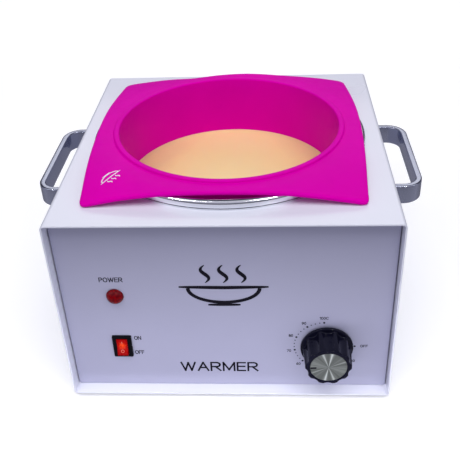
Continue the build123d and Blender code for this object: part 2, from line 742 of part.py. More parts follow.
with BuildPart() as knob_grub_screw:
    with BuildSketch(facing_down(KNOB_Z - SPINDLE_R + FLAT_DEPTH, KNOB_X, PANEL_Y - GRUB_DEPTH)):
        Circle(1.48)
    extrude(amount=8.0)
    with BuildSketch(facing_down(KNOB_Z - SPINDLE_R + FLAT_DEPTH - 8.0, KNOB_X, PANEL_Y - GRUB_DEPTH)):
        RegularPolygon(0.85, 6)
    extrude(amount=-2.0, mode=Mode.SUBTRACT)
save(knob_grub_screw, "knob_grub_screw")

# ---------------------------------------------------------------- sensor bulb and its capillary
BULB_R = 2.5
BULB_LENGTH = 76.0
BULB_Y = CASE_Y - 92.0
BULB_Z = WELL_BASE - BULB_R
CAPILLARY_R = 0.8
with BuildPart() as sensor_bulb:
    with BuildSketch(Plane(origin=(-BULB_LENGTH / 2, BULB_Y, BULB_Z), z_dir=(1, 0, 0))):
        Circle(BULB_R)
    extrude(amount=BULB_LENGTH)
    fillet(edges(), 1.0)
save(sensor_bulb, "sensor_bulb")

CLIP_W = 10.0
CLIP_T = 0.8
with BuildPart() as bulb_clips:
    for x in (-22.0, 22.0):
        clip_side = Plane(origin=(x - CLIP_W / 2, BULB_Y, WELL_BASE), x_dir=(0, 1, 0), z_dir=(1, 0, 0))
        with BuildSketch(clip_side):
            with Locations((0, -BULB_R)):
                Circle(BULB_R + CLIP_T)
            with Locations((0, -BULB_R / 2)):
                Rectangle(2 * (BULB_R + CLIP_T), BULB_R)
            with Locations((-BULB_R - 1.6, -CLIP_T / 2), (BULB_R + 1.6, -CLIP_T / 2)):
                Rectangle(4.0, CLIP_T)
            with Locations((0, -BULB_R)):
                Circle(BULB_R, mode=Mode.SUBTRACT)
            with Locations((0, -BULB_R / 2)):
                Rectangle(2 * BULB_R, BULB_R, mode=Mode.SUBTRACT)
            with Locations((0, BULB_R)):
                Rectangle(4 * BULB_R, 2 * BULB_R, mode=Mode.SUBTRACT)
        extrude(amount=CLIP_W)
save(bulb_clips, "bulb_clips")


def tube(points, radii, tube_r):
    """A round wire or tube along straight runs joined by tangent arcs; returns nothing, adds the solid."""
    with BuildLine() as route:
        FilletPolyline(*points, radius=radii)
    start = route.line @ 0
    along = route.line % 0
    with BuildSketch(Plane(origin=start, z_dir=along)) as section:
        Circle(tube_r)
    sweep(section.sketch, path=route.line)


THERMOSTAT_TOP = KNOB_Z + THERMOSTAT_W / 2
capillary_drop = (KNOB_X - 8, INSIDE_Y + 12.0)
with BuildPart() as capillary_tube:
    tube(
        [
            (BULB_LENGTH / 2, BULB_Y, BULB_Z),
            (BULB_LENGTH / 2 + 10, BULB_Y, BULB_Z),
            (capillary_drop[0], capillary_drop[1], BULB_Z - 1.0),
            (capillary_drop[0], capillary_drop[1], THERMOSTAT_TOP),
        ],
        3.0,
        CAPILLARY_R,
    )
save(capillary_tube, "capillary_tube")

# ---------------------------------------------------------------- over-temperature cut-out under the well
CUTOUT_R = 8.0
CUTOUT_T = 6.0
CUTOUT_TAB = 7.0
CUTOUT_TAB_X = 4.5
CUTOUT_Y = CASE_Y + 92.0
with BuildPart() as thermal_cutout:
    with BuildSketch(level(WELL_BASE, 0, CUTOUT_Y)):
        Circle(CUTOUT_R)
    extrude(amount=-CUTOUT_T)
    for x in (-CUTOUT_TAB_X, CUTOUT_TAB_X):
        with BuildSketch(level(WELL_BASE - CUTOUT_T, x, CUTOUT_Y)):
            Rectangle(0.8, 6.3)
        extrude(amount=-CUTOUT_TAB)
save(thermal_cutout, "thermal_cutout")

# ---------------------------------------------------------------- indicator lamp
LENS_RISE = 5.4           # dome top ahead of the panel
DOME_R = 7.0
lamp_side = Plane(origin=(LAMP_X, PANEL_Y, LAMP_Z), x_dir=(1, 0, 0), z_dir=(0, 0, 1))
LAMP_AXIS = Axis((LAMP_X, PANEL_Y, LAMP_Z), (0, -1, 0))
with BuildPart() as lamp_lens:
    with BuildSketch(lamp_side):
        with Locations((0, DOME_R - LENS_RISE)):
            Circle(DOME_R)
        Rectangle(LAMP_R, LENS_RISE, align=(Align.MIN, Align.MAX), mode=Mode.INTERSECT)
    revolve(axis=LAMP_AXIS)
save(lamp_lens, "lamp_lens")

with BuildPart() as lamp_body:
    with BuildSketch(facing_front(PANEL_Y, LAMP_X, LAMP_Z)):
        Circle(LAMP_BODY_R)
    extrude(amount=-LAMP_LENGTH)
    for x in (LAMP_X - 2.5, LAMP_X + 2.5):
        with BuildSketch(facing_front(PANEL_Y + LAMP_LENGTH, x, LAMP_Z)):
            Rectangle(0.5, 2.8)
        extrude(amount=-5.0)
save(lamp_body, "lamp_body")

with BuildPart() as lamp_nut:
    with BuildSketch(facing_front(INSIDE_Y, LAMP_X, LAMP_Z)):
        RegularPolygon(8.0, 6)
        Circle(LAMP_BODY_R + 0.03, mode=Mode.SUBTRACT)
    extrude(amount=-2.5)
save(lamp_nut, "lamp_nut")

# ---------------------------------------------------------------- rocker switch
CAVITY_W = ROCKER_W + 0.5
CAVITY_H = 2 * ROCKER_R + 0.7
CAVITY_DEEP = 6.5
PIVOT_R = 1.0
PIVOT_X = 1.3
with BuildPart() as switch_housing:
    with BuildSketch(facing_front(PANEL_Y, SWITCH_X, SWITCH_Z)):
        RectangleRounded(BEZEL_W, BEZEL_H, 0.8)
    extrude(amount=BEZEL_T)
    fillet(edges().group_by(Axis.Y)[0], 0.5)
    with BuildSketch(facing_front(PANEL_Y, SWITCH_X, SWITCH_Z)):
        Rectangle(SWITCH_W, SWITCH_H)
    extrude(amount=-SWITCH_DEEP)
    for end in (-1, 1):
        with BuildSketch(facing_front(INSIDE_Y + 0.1, SWITCH_X, SWITCH_Z + end * (SWITCH_H / 2 + 0.4))):
            Rectangle(5.0, 0.8)
        extrude(amount=-4.0)
    with BuildSketch(facing_front(PANEL_Y - BEZEL_T, SWITCH_X, SWITCH_Z)):
        Rectangle(CAVITY_W, CAVITY_H)
    extrude(amount=-(BEZEL_T + CAVITY_DEEP), mode=Mode.SUBTRACT)
    with BuildSketch(Plane(origin=(SWITCH_X - SWITCH_W, PANEL_Y, SWITCH_Z), z_dir=(1, 0, 0))):
        Circle(PIVOT_R + RUNNING_FIT)
    extrude(amount=2 * SWITCH_W, mode=Mode.SUBTRACT)
save(switch_housing, "switch_housing")

tilt = math.radians(ROCKER_TILT)


def rocker_plane(x):
    """The rocker's side view: x runs out of the panel, y up, tipped to the pressed-on position."""
    out = (0, -math.cos(tilt), math.sin(tilt))
    return Plane(origin=(x, PANEL_Y, SWITCH_Z), x_dir=out, z_dir=(-1, 0, 0))


ROCKER_MID = 2.3          # the face's middle stands this far out from the pivot
ROCKER_END = 3.6
ROCKER_BACK = 3.0
with BuildPart() as switch_rocker:
    with BuildSketch(rocker_plane(SWITCH_X + ROCKER_W / 2)):
        Circle(ROCKER_R)
        with BuildLine():
            Polyline(
                (-ROCKER_BACK, -2 * ROCKER_R),
                (ROCKER_END + 0.18, -2 * ROCKER_R),
                (ROCKER_END, -ROCKER_R),
                (ROCKER_MID, 0),
                (ROCKER_END, ROCKER_R),
                (ROCKER_END + 0.18, 2 * ROCKER_R),
                (-ROCKER_BACK, 2 * ROCKER_R),
                close=True,
            )
        make_face(mode=Mode.INTERSECT)
    extrude(amount=ROCKER_W)
    with BuildSketch(rocker_plane(SWITCH_X + ROCKER_W / 2 + PIVOT_X)):
        Circle(PIVOT_R)
    extrude(amount=ROCKER_W + 2 * PIVOT_X)
save(switch_rocker, "switch_rocker")

with BuildPart() as switch_terminals:
    for z in (SWITCH_Z - 6, SWITCH_Z, SWITCH_Z + 6):
        with BuildSketch(facing_front(PANEL_Y + SWITCH_DEEP, SWITCH_X, z)):
            Rectangle(4.8, 0.8)
        extrude(amount=-SWITCH_TAB)
save(switch_terminals, "switch_terminals")

# ---------------------------------------------------------------- mains inlet
with BuildPart() as inlet_body:
    with BuildSketch(facing_rear(REAR_Y, INLET_X, INLET_Z)):
        RectangleRounded(INLET_FLANGE_W, INLET_FLANGE_H, 5.0)
    extrude(amount=INLET_FLANGE_T)
    fillet(edges().group_by(Axis.Y)[-1], 0.6)
    with BuildSketch(facing_rear(REAR_Y, INLET_X, INLET_Z)):
        Rectangle(INLET_W, INLET_H)
        chamfer(vertices().group_by(Axis.Y)[-1], 4.5)
    extrude(amount=-INLET_DEEP)
    with BuildSketch(facing_rear(REAR_Y + INLET_FLANGE_T, INLET_X, INLET_Z)):
        Rectangle(INLET_W - 3.0, INLET_H - 3.8)
        chamfer(vertices().group_by(Axis.Y)[-1], 3.5)
    extrude(amount=-17.0, mode=Mode.SUBTRACT)
    with BuildSketch(facing_rear(REAR_Y + INLET_FLANGE_T, INLET_X, INLET_Z)):
        with Locations((-INLET_SCREW_PITCH / 2, 0), (INLET_SCREW_PITCH / 2, 0)):
            Circle(1.6)
    extrude(amount=-INLET_FLANGE_T, mode=Mode.SUBTRACT)
    with BuildSketch(facing_rear(REAR_Y - INLET_DEEP, INLET_X, INLET_Z)):
        with Locations((-7, -1), (7, -1), (0, 3)):
            Rectangle(2.0, 4.0)
    extrude(amount=INLET_DEEP, mode=Mode.SUBTRACT)
save(inlet_body, "inlet_body")

with BuildPart() as inlet_pins:
    with BuildSketch(facing_rear(REAR_Y - INLET_DEEP - INLET_TAB, INLET_X, INLET_Z)):
        with Locations((-7, -1), (7, -1), (0, 3)):
            Rectangle(1.98, 3.98)
    extrude(amount=INLET_DEEP + INLET_TAB - 1.0)
save(inlet_pins, "inlet_pins")

with BuildPart() as inlet_screws:
    for x in (INLET_X - INLET_SCREW_PITCH / 2, INLET_X + INLET_SCREW_PITCH / 2):
        pan_screw(facing_rear(REAR_Y + INLET_FLANGE_T, x, INLET_Z), 1.5, 9.0, 2.8, 1.6)
save(inlet_screws, "inlet_screws")

with BuildPart() as inlet_nuts:
    for x in (INLET_X - INLET_SCREW_PITCH / 2, INLET_X + INLET_SCREW_PITCH / 2):
        with BuildSketch(facing_rear(REAR_Y - SHEET, x, INLET_Z)):
            RegularPolygon(3.1, 6)
            Circle(1.53, mode=Mode.SUBTRACT)
        extrude(amount=-2.4)
save(inlet_nuts, "inlet_nuts")

# ---------------------------------------------------------------- terminal block and earth bolt
with BuildPart() as terminal_block:
    with BuildSketch(level(FLOOR_Z, *BLOCK_PLACE)):
        RectangleRounded(BLOCK_W, BLOCK_D, 2)
    extrude(amount=BLOCK_H)
    with BuildSketch(level(FLOOR_Z, *BLOCK_PLACE)):
        Circle(2.0)
    extrude(amount=BLOCK_H, mode=Mode.SUBTRACT)
    for x in (-BLOCK_PORT_X, BLOCK_PORT_X):
        with BuildSketch(facing_front(BLOCK_PLACE[1] + BLOCK_D / 2, BLOCK_PLACE[0] + x, BLOCK_PORT_Z)):
            Circle(2.6)
        extrude(amount=BLOCK_D, mode=Mode.SUBTRACT)
save(terminal_block, "terminal_block")

with BuildPart() as block_screw:
    pan_screw(facing_down(CASE_BOTTOM, *BLOCK_PLACE), 1.75, 21.5, 3.0, 1.8)
save(block_screw, "block_screw")

with BuildPart() as earth_bolt:
    pan_screw(facing_down(CASE_BOTTOM, *EARTH_PLACE), 1.75, EARTH_BOLT_L, 3.0, 1.8)
save(earth_bolt, "earth_bolt")

# ---------------------------------------------------------------- wiring
inlet_tail = REAR_Y - INLET_DEEP - INLET_TAB
switch_tail = PANEL_Y + SWITCH_DEEP + SWITCH_TAB
thermostat_tail = INSIDE_Y + THERMOSTAT_PLATE + THERMOSTAT_DEEP + THERMOSTAT_TAB
tab_low = KNOB_Z - 6.0
port_left = BLOCK_PLACE[0] - BLOCK_PORT_X
port_right = BLOCK_PLACE[0] + BLOCK_PORT_X
port_front = BLOCK_PLACE[1] - BLOCK_D / 2 + 5.0
port_rear = BLOCK_PLACE[1] + BLOCK_D / 2 - 5.0
cutout_tab_z = WELL_BASE - CUTOUT_T - CUTOUT_TAB
band_tab = on_circle(band_out + WIRE_R + 0.1, CLAMP_ANGLE - 6.5)
base_tab_y = CASE_Y + 76.0
routes = {
    "wire_inlet_to_switch": [
        (INLET_X - 7, inlet_tail, INLET_Z - 1),
        (INLET_X - 7, inlet_tail - 45, INLET_Z - 1),
        (INLET_X - 3, inlet_tail - 100, INLET_Z + 1),
        (SWITCH_X - 2, switch_tail + 35, SWITCH_Z + 6),
        (SWITCH_X, switch_tail + 14, SWITCH_Z + 6),
        (SWITCH_X, switch_tail, SWITCH_Z + 6),
    ],
    "wire_switch_to_thermostat": [
        (SWITCH_X, switch_tail, SWITCH_Z),
        (SWITCH_X, switch_tail + 16, SWITCH_Z),
        (SWITCH_X + 30, switch_tail + 24, SWITCH_Z - 14),
        (SWITCH_X + 80, switch_tail + 22, SWITCH_Z - 22),
        (KNOB_X - 30, thermostat_tail + 18, KNOB_Z - 16),
        (KNOB_X - 8, thermostat_tail + 16, tab_low),
        (KNOB_X - 8, thermostat_tail, tab_low),
    ],
    "wire_thermostat_to_block": [
        (KNOB_X + 8, thermostat_tail, tab_low),
        (KNOB_X + 8, thermostat_tail + 24, tab_low),
        (KNOB_X + 14, thermostat_tail + 70, KNOB_Z - 20),
        (KNOB_X + 12, BLOCK_PLACE[1] - 26, BLOCK_PORT_Z + 6),
        (port_right + 6, BLOCK_PLACE[1] - 28, BLOCK_PORT_Z),
        (port_right, port_front, BLOCK_PORT_Z),
    ],
    "wire_inlet_to_block": [
        (INLET_X + 7, inlet_tail, INLET_Z - 1),
        (INLET_X + 7, inlet_tail - 14, INLET_Z - 1),
        (INLET_X + 34, inlet_tail - 24, INLET_Z - 14),
        (BLOCK_PLACE[0] - 30, BLOCK_PLACE[1] + 26, BLOCK_PORT_Z + 4),
        (port_left, BLOCK_PLACE[1] + 22, BLOCK_PORT_Z),
        (port_left, port_rear, BLOCK_PORT_Z),
    ],
    "wire_inlet_to_earth": [
        (INLET_X, inlet_tail, INLET_Z + 3),
        (INLET_X, inlet_tail - 10, INLET_Z + 3),
        (INLET_X + 6, inlet_tail - 18, INLET_Z - 14),
        (EARTH_PLACE[0], EARTH_PLACE[1], FLOOR_Z + 28),
        (EARTH_PLACE[0], EARTH_PLACE[1], CASE_BOTTOM + EARTH_BOLT_L),
    ],
    "wire_block_to_cutout": [
        (port_right, port_rear, BLOCK_PORT_Z),
        (port_right, BLOCK_PLACE[1] + 24, BLOCK_PORT_Z + 4),
        (BLOCK_PLACE[0], CUTOUT_Y + 4, BLOCK_PORT_Z + 24),
        (CUTOUT_TAB_X, CUTOUT_Y, cutout_tab_z - 10),
        (CUTOUT_TAB_X, CUTOUT_Y, cutout_tab_z),
    ],
    "wire_cutout_to_band": [
        (-CUTOUT_TAB_X, CUTOUT_Y, cutout_tab_z),
        (-CUTOUT_TAB_X, CUTOUT_Y, cutout_tab_z - 8),
        (-CUTOUT_TAB_X - 28, CUTOUT_Y - 2, cutout_tab_z - 10),
        (band_tab[0], band_tab[1], cutout_tab_z - 2),
        (band_tab[0], band_tab[1], BAND_LOW + 10),
    ],
    "wire_block_to_base_heater": [
        (port_left, port_front, BLOCK_PORT_Z),
        (port_left, port_front - 14, BLOCK_PORT_Z + 3),
        (port_left - 5, port_front - 12, BLOCK_PORT_Z + 24),
        (0, base_tab_y, base_heater_low - 16),
        (0, base_tab_y, base_heater_low),
    ],
}


def bend_radii(points):
    """For each inner point, the largest tangent arc that its two runs leave room for."""
    radii = []
    for before, here, after in zip(points, points[1:], points[2:]):
        first = Vector(*here) - Vector(*before)
        second = Vector(*after) - Vector(*here)
        half_turn = math.radians(first.get_angle(second)) / 2
        radii.append(0.45 * min(first.length, second.length) / math.tan(half_turn))
    return radii


for name, points in routes.items():
    radii = bend_radii(points)
    print(name, "bend radii", [round(radius, 1) for radius in radii])
    with BuildPart() as wire:
        tube(points, radii, WIRE_R)
    save(wire, name)
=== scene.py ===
import json
import math

import bmesh
import bpy
from mathutils import Matrix, Vector, noise


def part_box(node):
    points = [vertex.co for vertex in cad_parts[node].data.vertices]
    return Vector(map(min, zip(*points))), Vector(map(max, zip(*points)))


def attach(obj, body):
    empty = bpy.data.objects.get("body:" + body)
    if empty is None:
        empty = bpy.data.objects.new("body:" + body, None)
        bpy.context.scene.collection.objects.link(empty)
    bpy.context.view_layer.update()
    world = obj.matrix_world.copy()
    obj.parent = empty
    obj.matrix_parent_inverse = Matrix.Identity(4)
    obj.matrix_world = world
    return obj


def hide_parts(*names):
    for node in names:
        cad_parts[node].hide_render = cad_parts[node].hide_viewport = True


# The looks of the wax warmer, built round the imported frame. Metres; MM turns millimetres into metres.
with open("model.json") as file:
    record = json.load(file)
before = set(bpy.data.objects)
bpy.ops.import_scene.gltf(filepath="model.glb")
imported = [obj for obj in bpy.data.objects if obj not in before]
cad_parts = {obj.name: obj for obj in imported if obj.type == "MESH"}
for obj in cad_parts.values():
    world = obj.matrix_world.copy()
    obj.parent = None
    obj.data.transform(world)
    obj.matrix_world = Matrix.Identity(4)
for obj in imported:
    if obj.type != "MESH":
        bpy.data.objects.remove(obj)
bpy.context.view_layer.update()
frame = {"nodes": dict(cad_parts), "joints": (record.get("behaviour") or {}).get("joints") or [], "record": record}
MM = 0.001

case_low, case_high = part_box("case_wrap")
TOP = case_high.z
AXIS_Y = (case_low.y + case_high.y) / 2
PANEL_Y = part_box("front_panel")[0].y


# ======== mesh helpers
def linked(name, data):
    made = bpy.data.objects.new(name, data)
    bpy.context.scene.collection.objects.link(made)
    return made


def new_object(name, verts, faces, smooth=True):
    mesh = bpy.data.meshes.new(name)
    mesh.from_pydata([tuple(v) for v in verts], [], faces)
    mesh.validate()
    for polygon in mesh.polygons:
        polygon.use_smooth = smooth
    return linked(name, mesh)


def reshaped(made, change):
    shape = bmesh.new()
    shape.from_mesh(made.data)
    change(shape)
    shape.to_mesh(made.data)
    shape.free()
    return made


def outward(made):
    """Makes every face of a closed mesh point outwards."""
    return reshaped(made, lambda shape: bmesh.ops.recalc_face_normals(shape, faces=shape.faces))


def sharpen(made, degrees):
    """Marks edges sharper than the angle, so that smooth shading keeps them crisp."""
    def mark(shape):
        for edge in shape.edges:
            if len(edge.link_faces) == 2 and edge.calc_face_angle(0.0) > math.radians(degrees):
                edge.smooth = False

    return reshaped(made, mark)


def ring_mesh(name, rings):
    """Skins a stack of rings of equal length, and closes each end of it with a fan."""
    count = len(rings[0])
    verts = [point for ring in rings for point in ring]
    faces = []
    for i in range(len(rings) - 1):
        a, b = i * count, (i + 1) * count
        for j in range(count):
            k = (j + 1) % count
            faces.append((a + j, a + k, b + k, b + j))
    for start, ring in ((0, rings[0]), ((len(rings) - 1) * count, rings[-1])):
        verts.append(sum(ring, Vector()) / count)
        faces += [(start + j, start + (j + 1) % count, len(verts) - 1) for j in range(count)]
    return outward(new_object(name, verts, faces))


def around_pot(u, v, height):
    """A point beside the pot's upright axis."""
    return Vector((u, AXIS_Y + v, height))


def to_front(x, z, out):
    """A point on the control panel: x across, z up, out ahead of the panel, all in metres."""
    return Vector((x, PANEL_Y - out, z))


def ahead_of(x, z):
    """A function that places points round an axis that stands out of the control panel."""
    return lambda u, v, out: to_front(x + u, z + v, out)


def circle(steps):
    """Directions spaced evenly round a circle, in radians."""
    return [2 * math.pi * j / steps for j in range(steps)]


def lathe(name, profile, steps, place):
    """Turns (radius, along) points about an axis; place(u, v, along) says where its points lie."""
    rings = []
    for radius, along in profile:
        rings.append([place(radius * math.cos(t), radius * math.sin(t), along) for t in circle(steps)])
    return ring_mesh(name, rings)


def curve_points(cx, cy, rx, ry, start=0.0, end=360.0, steps=20):
    """Points along an ellipse, angles in degrees."""
    turns = [math.radians(start + (end - start) * i / steps) for i in range(steps + 1)]
    return [(cx + rx * math.cos(t), cy + ry * math.sin(t)) for t in turns]


def arc(centre, radius, start, end, steps):
    """Points of a circular arc in a section, angles in degrees."""
    return curve_points(*centre, radius, radius, start, end, steps)


def rounded_rectangle(width, height, radius, steps=6):
    """The outline of a rounded rectangle about the origin, anticlockwise."""
    points = []
    for sx, sy, start in ((1, 1, 0), (-1, 1, 90), (-1, -1, 180), (1, -1, 270)):
        centre = (sx * (width / 2 - radius), sy * (height / 2 - radius))
        points += arc(centre, radius, start, start + 90, steps)
    return points


def smoothstep(low, high, value):
    t = min(1.0, max(0.0, (value - low) / (high - low)))
    return t * t * (3 - 2 * t)


# ======== material helpers
def start_material(name):
    made = bpy.data.materials.new(name)
    made.use_nodes = True
    tree = made.node_tree
    shader = tree.nodes["Principled BSDF"]
    place = tree.nodes.new("ShaderNodeTexCoord")
    return made, tree, shader, place.outputs["Object"]


def noise_node(tree, vector, scale, detail=4.0, rough=0.5, stretch=None):
    if stretch:
        mapping = tree.nodes.new("ShaderNodeMapping")
        mapping.inputs["Scale"].default_value = stretch
        tree.links.new(vector, mapping.inputs["Vector"])
        vector = mapping.outputs["Vector"]
    made = tree.nodes.new("ShaderNodeTexNoise")
    made.inputs["Scale"].default_value = scale
    made.inputs["Detail"].default_value = detail
    made.inputs["Roughness"].default_value = rough
    tree.links.new(vector, made.inputs["Vector"])
    return made.outputs["Fac"]


def ramp_node(tree, factor, stops):
    made = tree.nodes.new("ShaderNodeValToRGB")
    ramp = made.color_ramp
    while len(ramp.elements) < len(stops):
        ramp.elements.new(0.5)
    for element, (place, colour) in zip(ramp.elements, stops):
        element.position = place
        element.color = (*colour, 1.0)
    tree.links.new(factor, made.inputs["Fac"])
    return made.outputs["Color"]


def range_node(tree, value, low, high, from_low=0.3, from_high=0.7):
    made = tree.nodes.new("ShaderNodeMapRange")
    made.inputs["From Min"].default_value = from_low
    made.inputs["From Max"].default_value = from_high
    made.inputs["To Min"].default_value = low
    made.inputs["To Max"].default_value = high
    tree.links.new(value, made.inputs["Value"])
    return made.outputs["Result"]


def math_node(tree, operation, a, b=None):
    made = tree.nodes.new("ShaderNodeMath")
    made.operation = operation
    for socket, value in zip(made.inputs, (a, b)):
        if value is None:
            continue
        if isinstance(value, (int, float)):
            socket.default_value = value
        else:
            tree.links.new(value, socket)
    return made.outputs["Value"]


def times(tree, a, b):
    return math_node(tree, "MULTIPLY", a, b)


def plus(tree, a, b):
    return math_node(tree, "ADD", a, b)


def from_point(tree, vector, point, operation="SUBTRACT"):
    """The way from a point to each place, or with DISTANCE how far it is."""
    made = tree.nodes.new("ShaderNodeVectorMath")
    made.operation = operation
    made.inputs[1].default_value = point
    tree.links.new(vector, made.inputs[0])
    return made.outputs["Value" if operation == "DISTANCE" else "Vector"]


def split_node(tree, vector):
    made = tree.nodes.new("ShaderNodeSeparateXYZ")
    tree.links.new(vector, made.inputs["Vector"])
    return [made.outputs[axis] for axis in "XYZ"]


def groove_node(tree, track, scale):
    """Lines that follow one another along a track, as a lathe tool leaves them."""
    made = tree.nodes.new("ShaderNodeTexNoise")
    made.noise_dimensions = "1D"
    made.inputs["Scale"].default_value = scale
    made.inputs["Detail"].default_value = 3.0
    tree.links.new(track, made.inputs["W"])
    return made.outputs["Fac"]


def cell_node(tree, vector, scale):
    made = tree.nodes.new("ShaderNodeTexVoronoi")
    made.inputs["Scale"].default_value = scale
    tree.links.new(vector, made.inputs["Vector"])
    return made.outputs["Distance"]


def bump_node(tree, height, strength, distance, shader, edge=0.0):
    """A fine relief; edge, in millimetres, also rounds the light on sharp corners."""
    made = tree.nodes.new("ShaderNodeBump")
    made.inputs["Strength"].default_value = strength
    made.inputs["Distance"].default_value = distance
    tree.links.new(height, made.inputs["Height"])
    if edge:
        round_off = tree.nodes.new("ShaderNodeBevel")
        round_off.samples = 6
        round_off.inputs["Radius"].default_value = edge * MM
        tree.links.new(round_off.outputs["Normal"], made.inputs["Normal"])
    tree.links.new(made.outputs["Normal"], shader.inputs["Normal"])


def look(tree, shader, colour, rough, **sockets):
    """Links colour and roughness, and sets the shader's own sockets: an underscore stands for a space."""
    tree.links.new(colour, shader.inputs["Base Color"])
    tree.links.new(rough, shader.inputs["Roughness"])
    for socket, value in sockets.items():
        shader.inputs[socket.replace("_", " ")].default_value = value


def shade(colour, share):
    """The colour made lighter (share above 1) or darker."""
    return tuple(min(1.0, channel * share) for channel in colour)


def plain(name, colour, rough, vary=0.06, patch=60.0, grain=900.0, bump=0.1, depth=0.1,
          rough_vary=0.05, edge=0.0, **sockets):
    """A material with patchy colour, uneven gloss and a fine grain; depth is the grain's in mm."""
    made, tree, shader, place = start_material(name)
    blotch = noise_node(tree, place, patch, 3.0)
    stops = [(0.3, shade(colour, 1 - vary)), (0.7, shade(colour, 1 + vary))]
    gloss = range_node(tree, blotch, rough - rough_vary, rough + rough_vary)
    look(tree, shader, ramp_node(tree, blotch, stops), gloss, **sockets)
    bump_node(tree, noise_node(tree, place, grain, 2.0), bump, depth * MM, shader, edge)
    return made


# ======== materials
def powder_coat(name, colour, rough):
    """Gloss white stove enamel: a long soft orange peel under a clear gloss, and faint cloudiness."""
    made, tree, shader, place = start_material(name)
    cloud = noise_node(tree, place, 14.0, 3.0)
    stops = [(0.3, shade(colour, 0.975)), (0.7, colour)]
    gloss = range_node(tree, cloud, rough - 0.03, rough + 0.04)
    look(tree, shader, ramp_node(tree, cloud, stops), gloss, Coat_Weight=0.5, Coat_Roughness=0.08)
    peel = noise_node(tree, place, 520.0, 2.0)
    dust = noise_node(tree, place, 2600.0, 1.0)
    bump_node(tree, plus(tree, peel, times(tree, dust, 0.25)), 0.12, 0.12 * MM, shader, 0.9)
    return made


def silicone_material():
    """Dyed silicone rubber: matt and saturated, with light that soaks in a little."""
    made, tree, shader, place = start_material("silicone_magenta")
    colour = (0.66, 0.0, 0.38)
    cloud = noise_node(tree, place, 22.0, 4.0)
    stops = [(0.25, shade(colour, 0.93)), (0.75, shade(colour, 1.04))]
    bloom = noise_node(tree, place, 180.0, 5.0, 0.6)
    # Emission in the dye's own colour paints a faint glow into the rubber.
    look(tree, shader, ramp_node(tree, cloud, stops), range_node(tree, bloom, 0.46, 0.56),
         Subsurface_Weight=0.15, Subsurface_Radius=(1.0, 0.15, 0.6), Subsurface_Scale=3 * MM,
         Specular_IOR_Level=0.06, Specular_Tint=(1.0, 0.12, 0.8, 1.0),
         Emission_Color=(*colour, 1.0), Emission_Strength=0.08)
    bump_node(tree, noise_node(tree, place, 1500.0, 3.0), 0.10, 0.05 * MM, shader)
    return made


def wax_material():
    """Set depilatory wax: milky peach, cloudier in drifts, with painted shade that darkens it towards the wall."""
    made, tree, shader, place = start_material("wax_peach")
    # The squeeze shapes the painted shade so that it darkens the left and right more than the front and back.
    squeeze = 0.55
    squeezed = tree.nodes.new("ShaderNodeMapping")
    squeezed.inputs["Scale"].default_value = (1.0, squeeze, 1.0)
    squeezed.inputs["Location"].default_value = (0.0, (1 - squeeze) * AXIS_Y, 0.0)
    tree.links.new(place, squeezed.inputs["Vector"])
    middle = (0.0, AXIS_Y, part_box("wax_fill")[1].z)
    painted_shade_distance = from_point(tree, squeezed.outputs["Vector"], middle, "DISTANCE")
    # Painted shade: the colour darkens from 38 mm out from the middle to the wall.
    edge = range_node(tree, painted_shade_distance, 0.0, 0.75, 38 * MM, 88 * MM)
    drift = noise_node(tree, place, 18.0, 5.0, 0.55)
    stops = [(0.1, (0.94, 0.76, 0.36)), (0.4, (0.93, 0.72, 0.33)), (0.65, (0.80, 0.58, 0.28)),
             (1.0, (0.62, 0.44, 0.23))]
    ripple = noise_node(tree, place, 40.0, 3.0)
    look(tree, shader, ramp_node(tree, plus(tree, times(tree, drift, 0.45), edge), stops),
         range_node(tree, ripple, 0.30, 0.42), Coat_Weight=0.15, Coat_Roughness=0.2,
         Subsurface_Weight=0.3, Subsurface_Radius=(1.0, 0.55, 0.3), Subsurface_Scale=6 * MM)
    bump_node(tree, ripple, 0.2, 0.5 * MM, shader)
    return made


def spun_metal(name, colour, rough, grooves, anisotropy):
    """Metal turned about the pot's axis: fine grooves round it, with a little wander between them."""
    made, tree, shader, place = start_material(name)
    x, y, z = split_node(tree, from_point(tree, place, (0.0, AXIS_Y, 0.0)))
    radius = math_node(tree, "SQRT", plus(tree, times(tree, x, x), times(tree, y, y)))
    lines = groove_node(tree, plus(tree, radius, times(tree, z, 0.8)), grooves)
    patch = noise_node(tree, place, 35.0, 3.0)
    stops = [(0.3, shade(colour, 0.93)), (0.7, colour)]
    gloss = range_node(tree, lines, rough - 0.04, rough + 0.08)
    look(tree, shader, ramp_node(tree, patch, stops), gloss, Metallic=1.0, Anisotropic=anisotropy)
    bump_node(tree, lines, 0.15, 0.03 * MM, shader)
    tangent = tree.nodes.new("ShaderNodeTangent")
    tangent.direction_type = "RADIAL"
    tangent.axis = "Z"
    tree.links.new(tangent.outputs["Tangent"], shader.inputs["Tangent"])
    return made


def brushed_metal(name, colour, rough, stretch, edge=0.0):
    """Metal with fine scratches that run along the axis with the smallest stretch."""
    made, tree, shader, place = start_material(name)
    lines = noise_node(tree, place, 60.0, 6.0, 0.65, stretch)
    stops = [(0.25, shade(colour, 0.86)), (0.75, colour)]
    gloss = range_node(tree, lines, rough - 0.05, rough + 0.09)
    look(tree, shader, ramp_node(tree, lines, stops), gloss, Metallic=1.0)
    bump_node(tree, lines, 0.12, 0.04 * MM, shader, edge)
    return made


def flaked(name, colour, edge, scale, rough, metallic=0.0):
    """Mica sheet or a zinc coat: overlapping flakes of slightly different tone."""
    made, tree, shader, place = start_material(name)
    cells = cell_node(tree, place, scale)
    gloss = range_node(tree, cells, rough - 0.1, rough + 0.1, 0, 1)
    look(tree, shader, ramp_node(tree, cells, [(0.0, colour), (0.8, edge)]), gloss, Metallic=metallic)
    bump_node(tree, cells, 0.3, 0.2 * MM, shader)
    return made


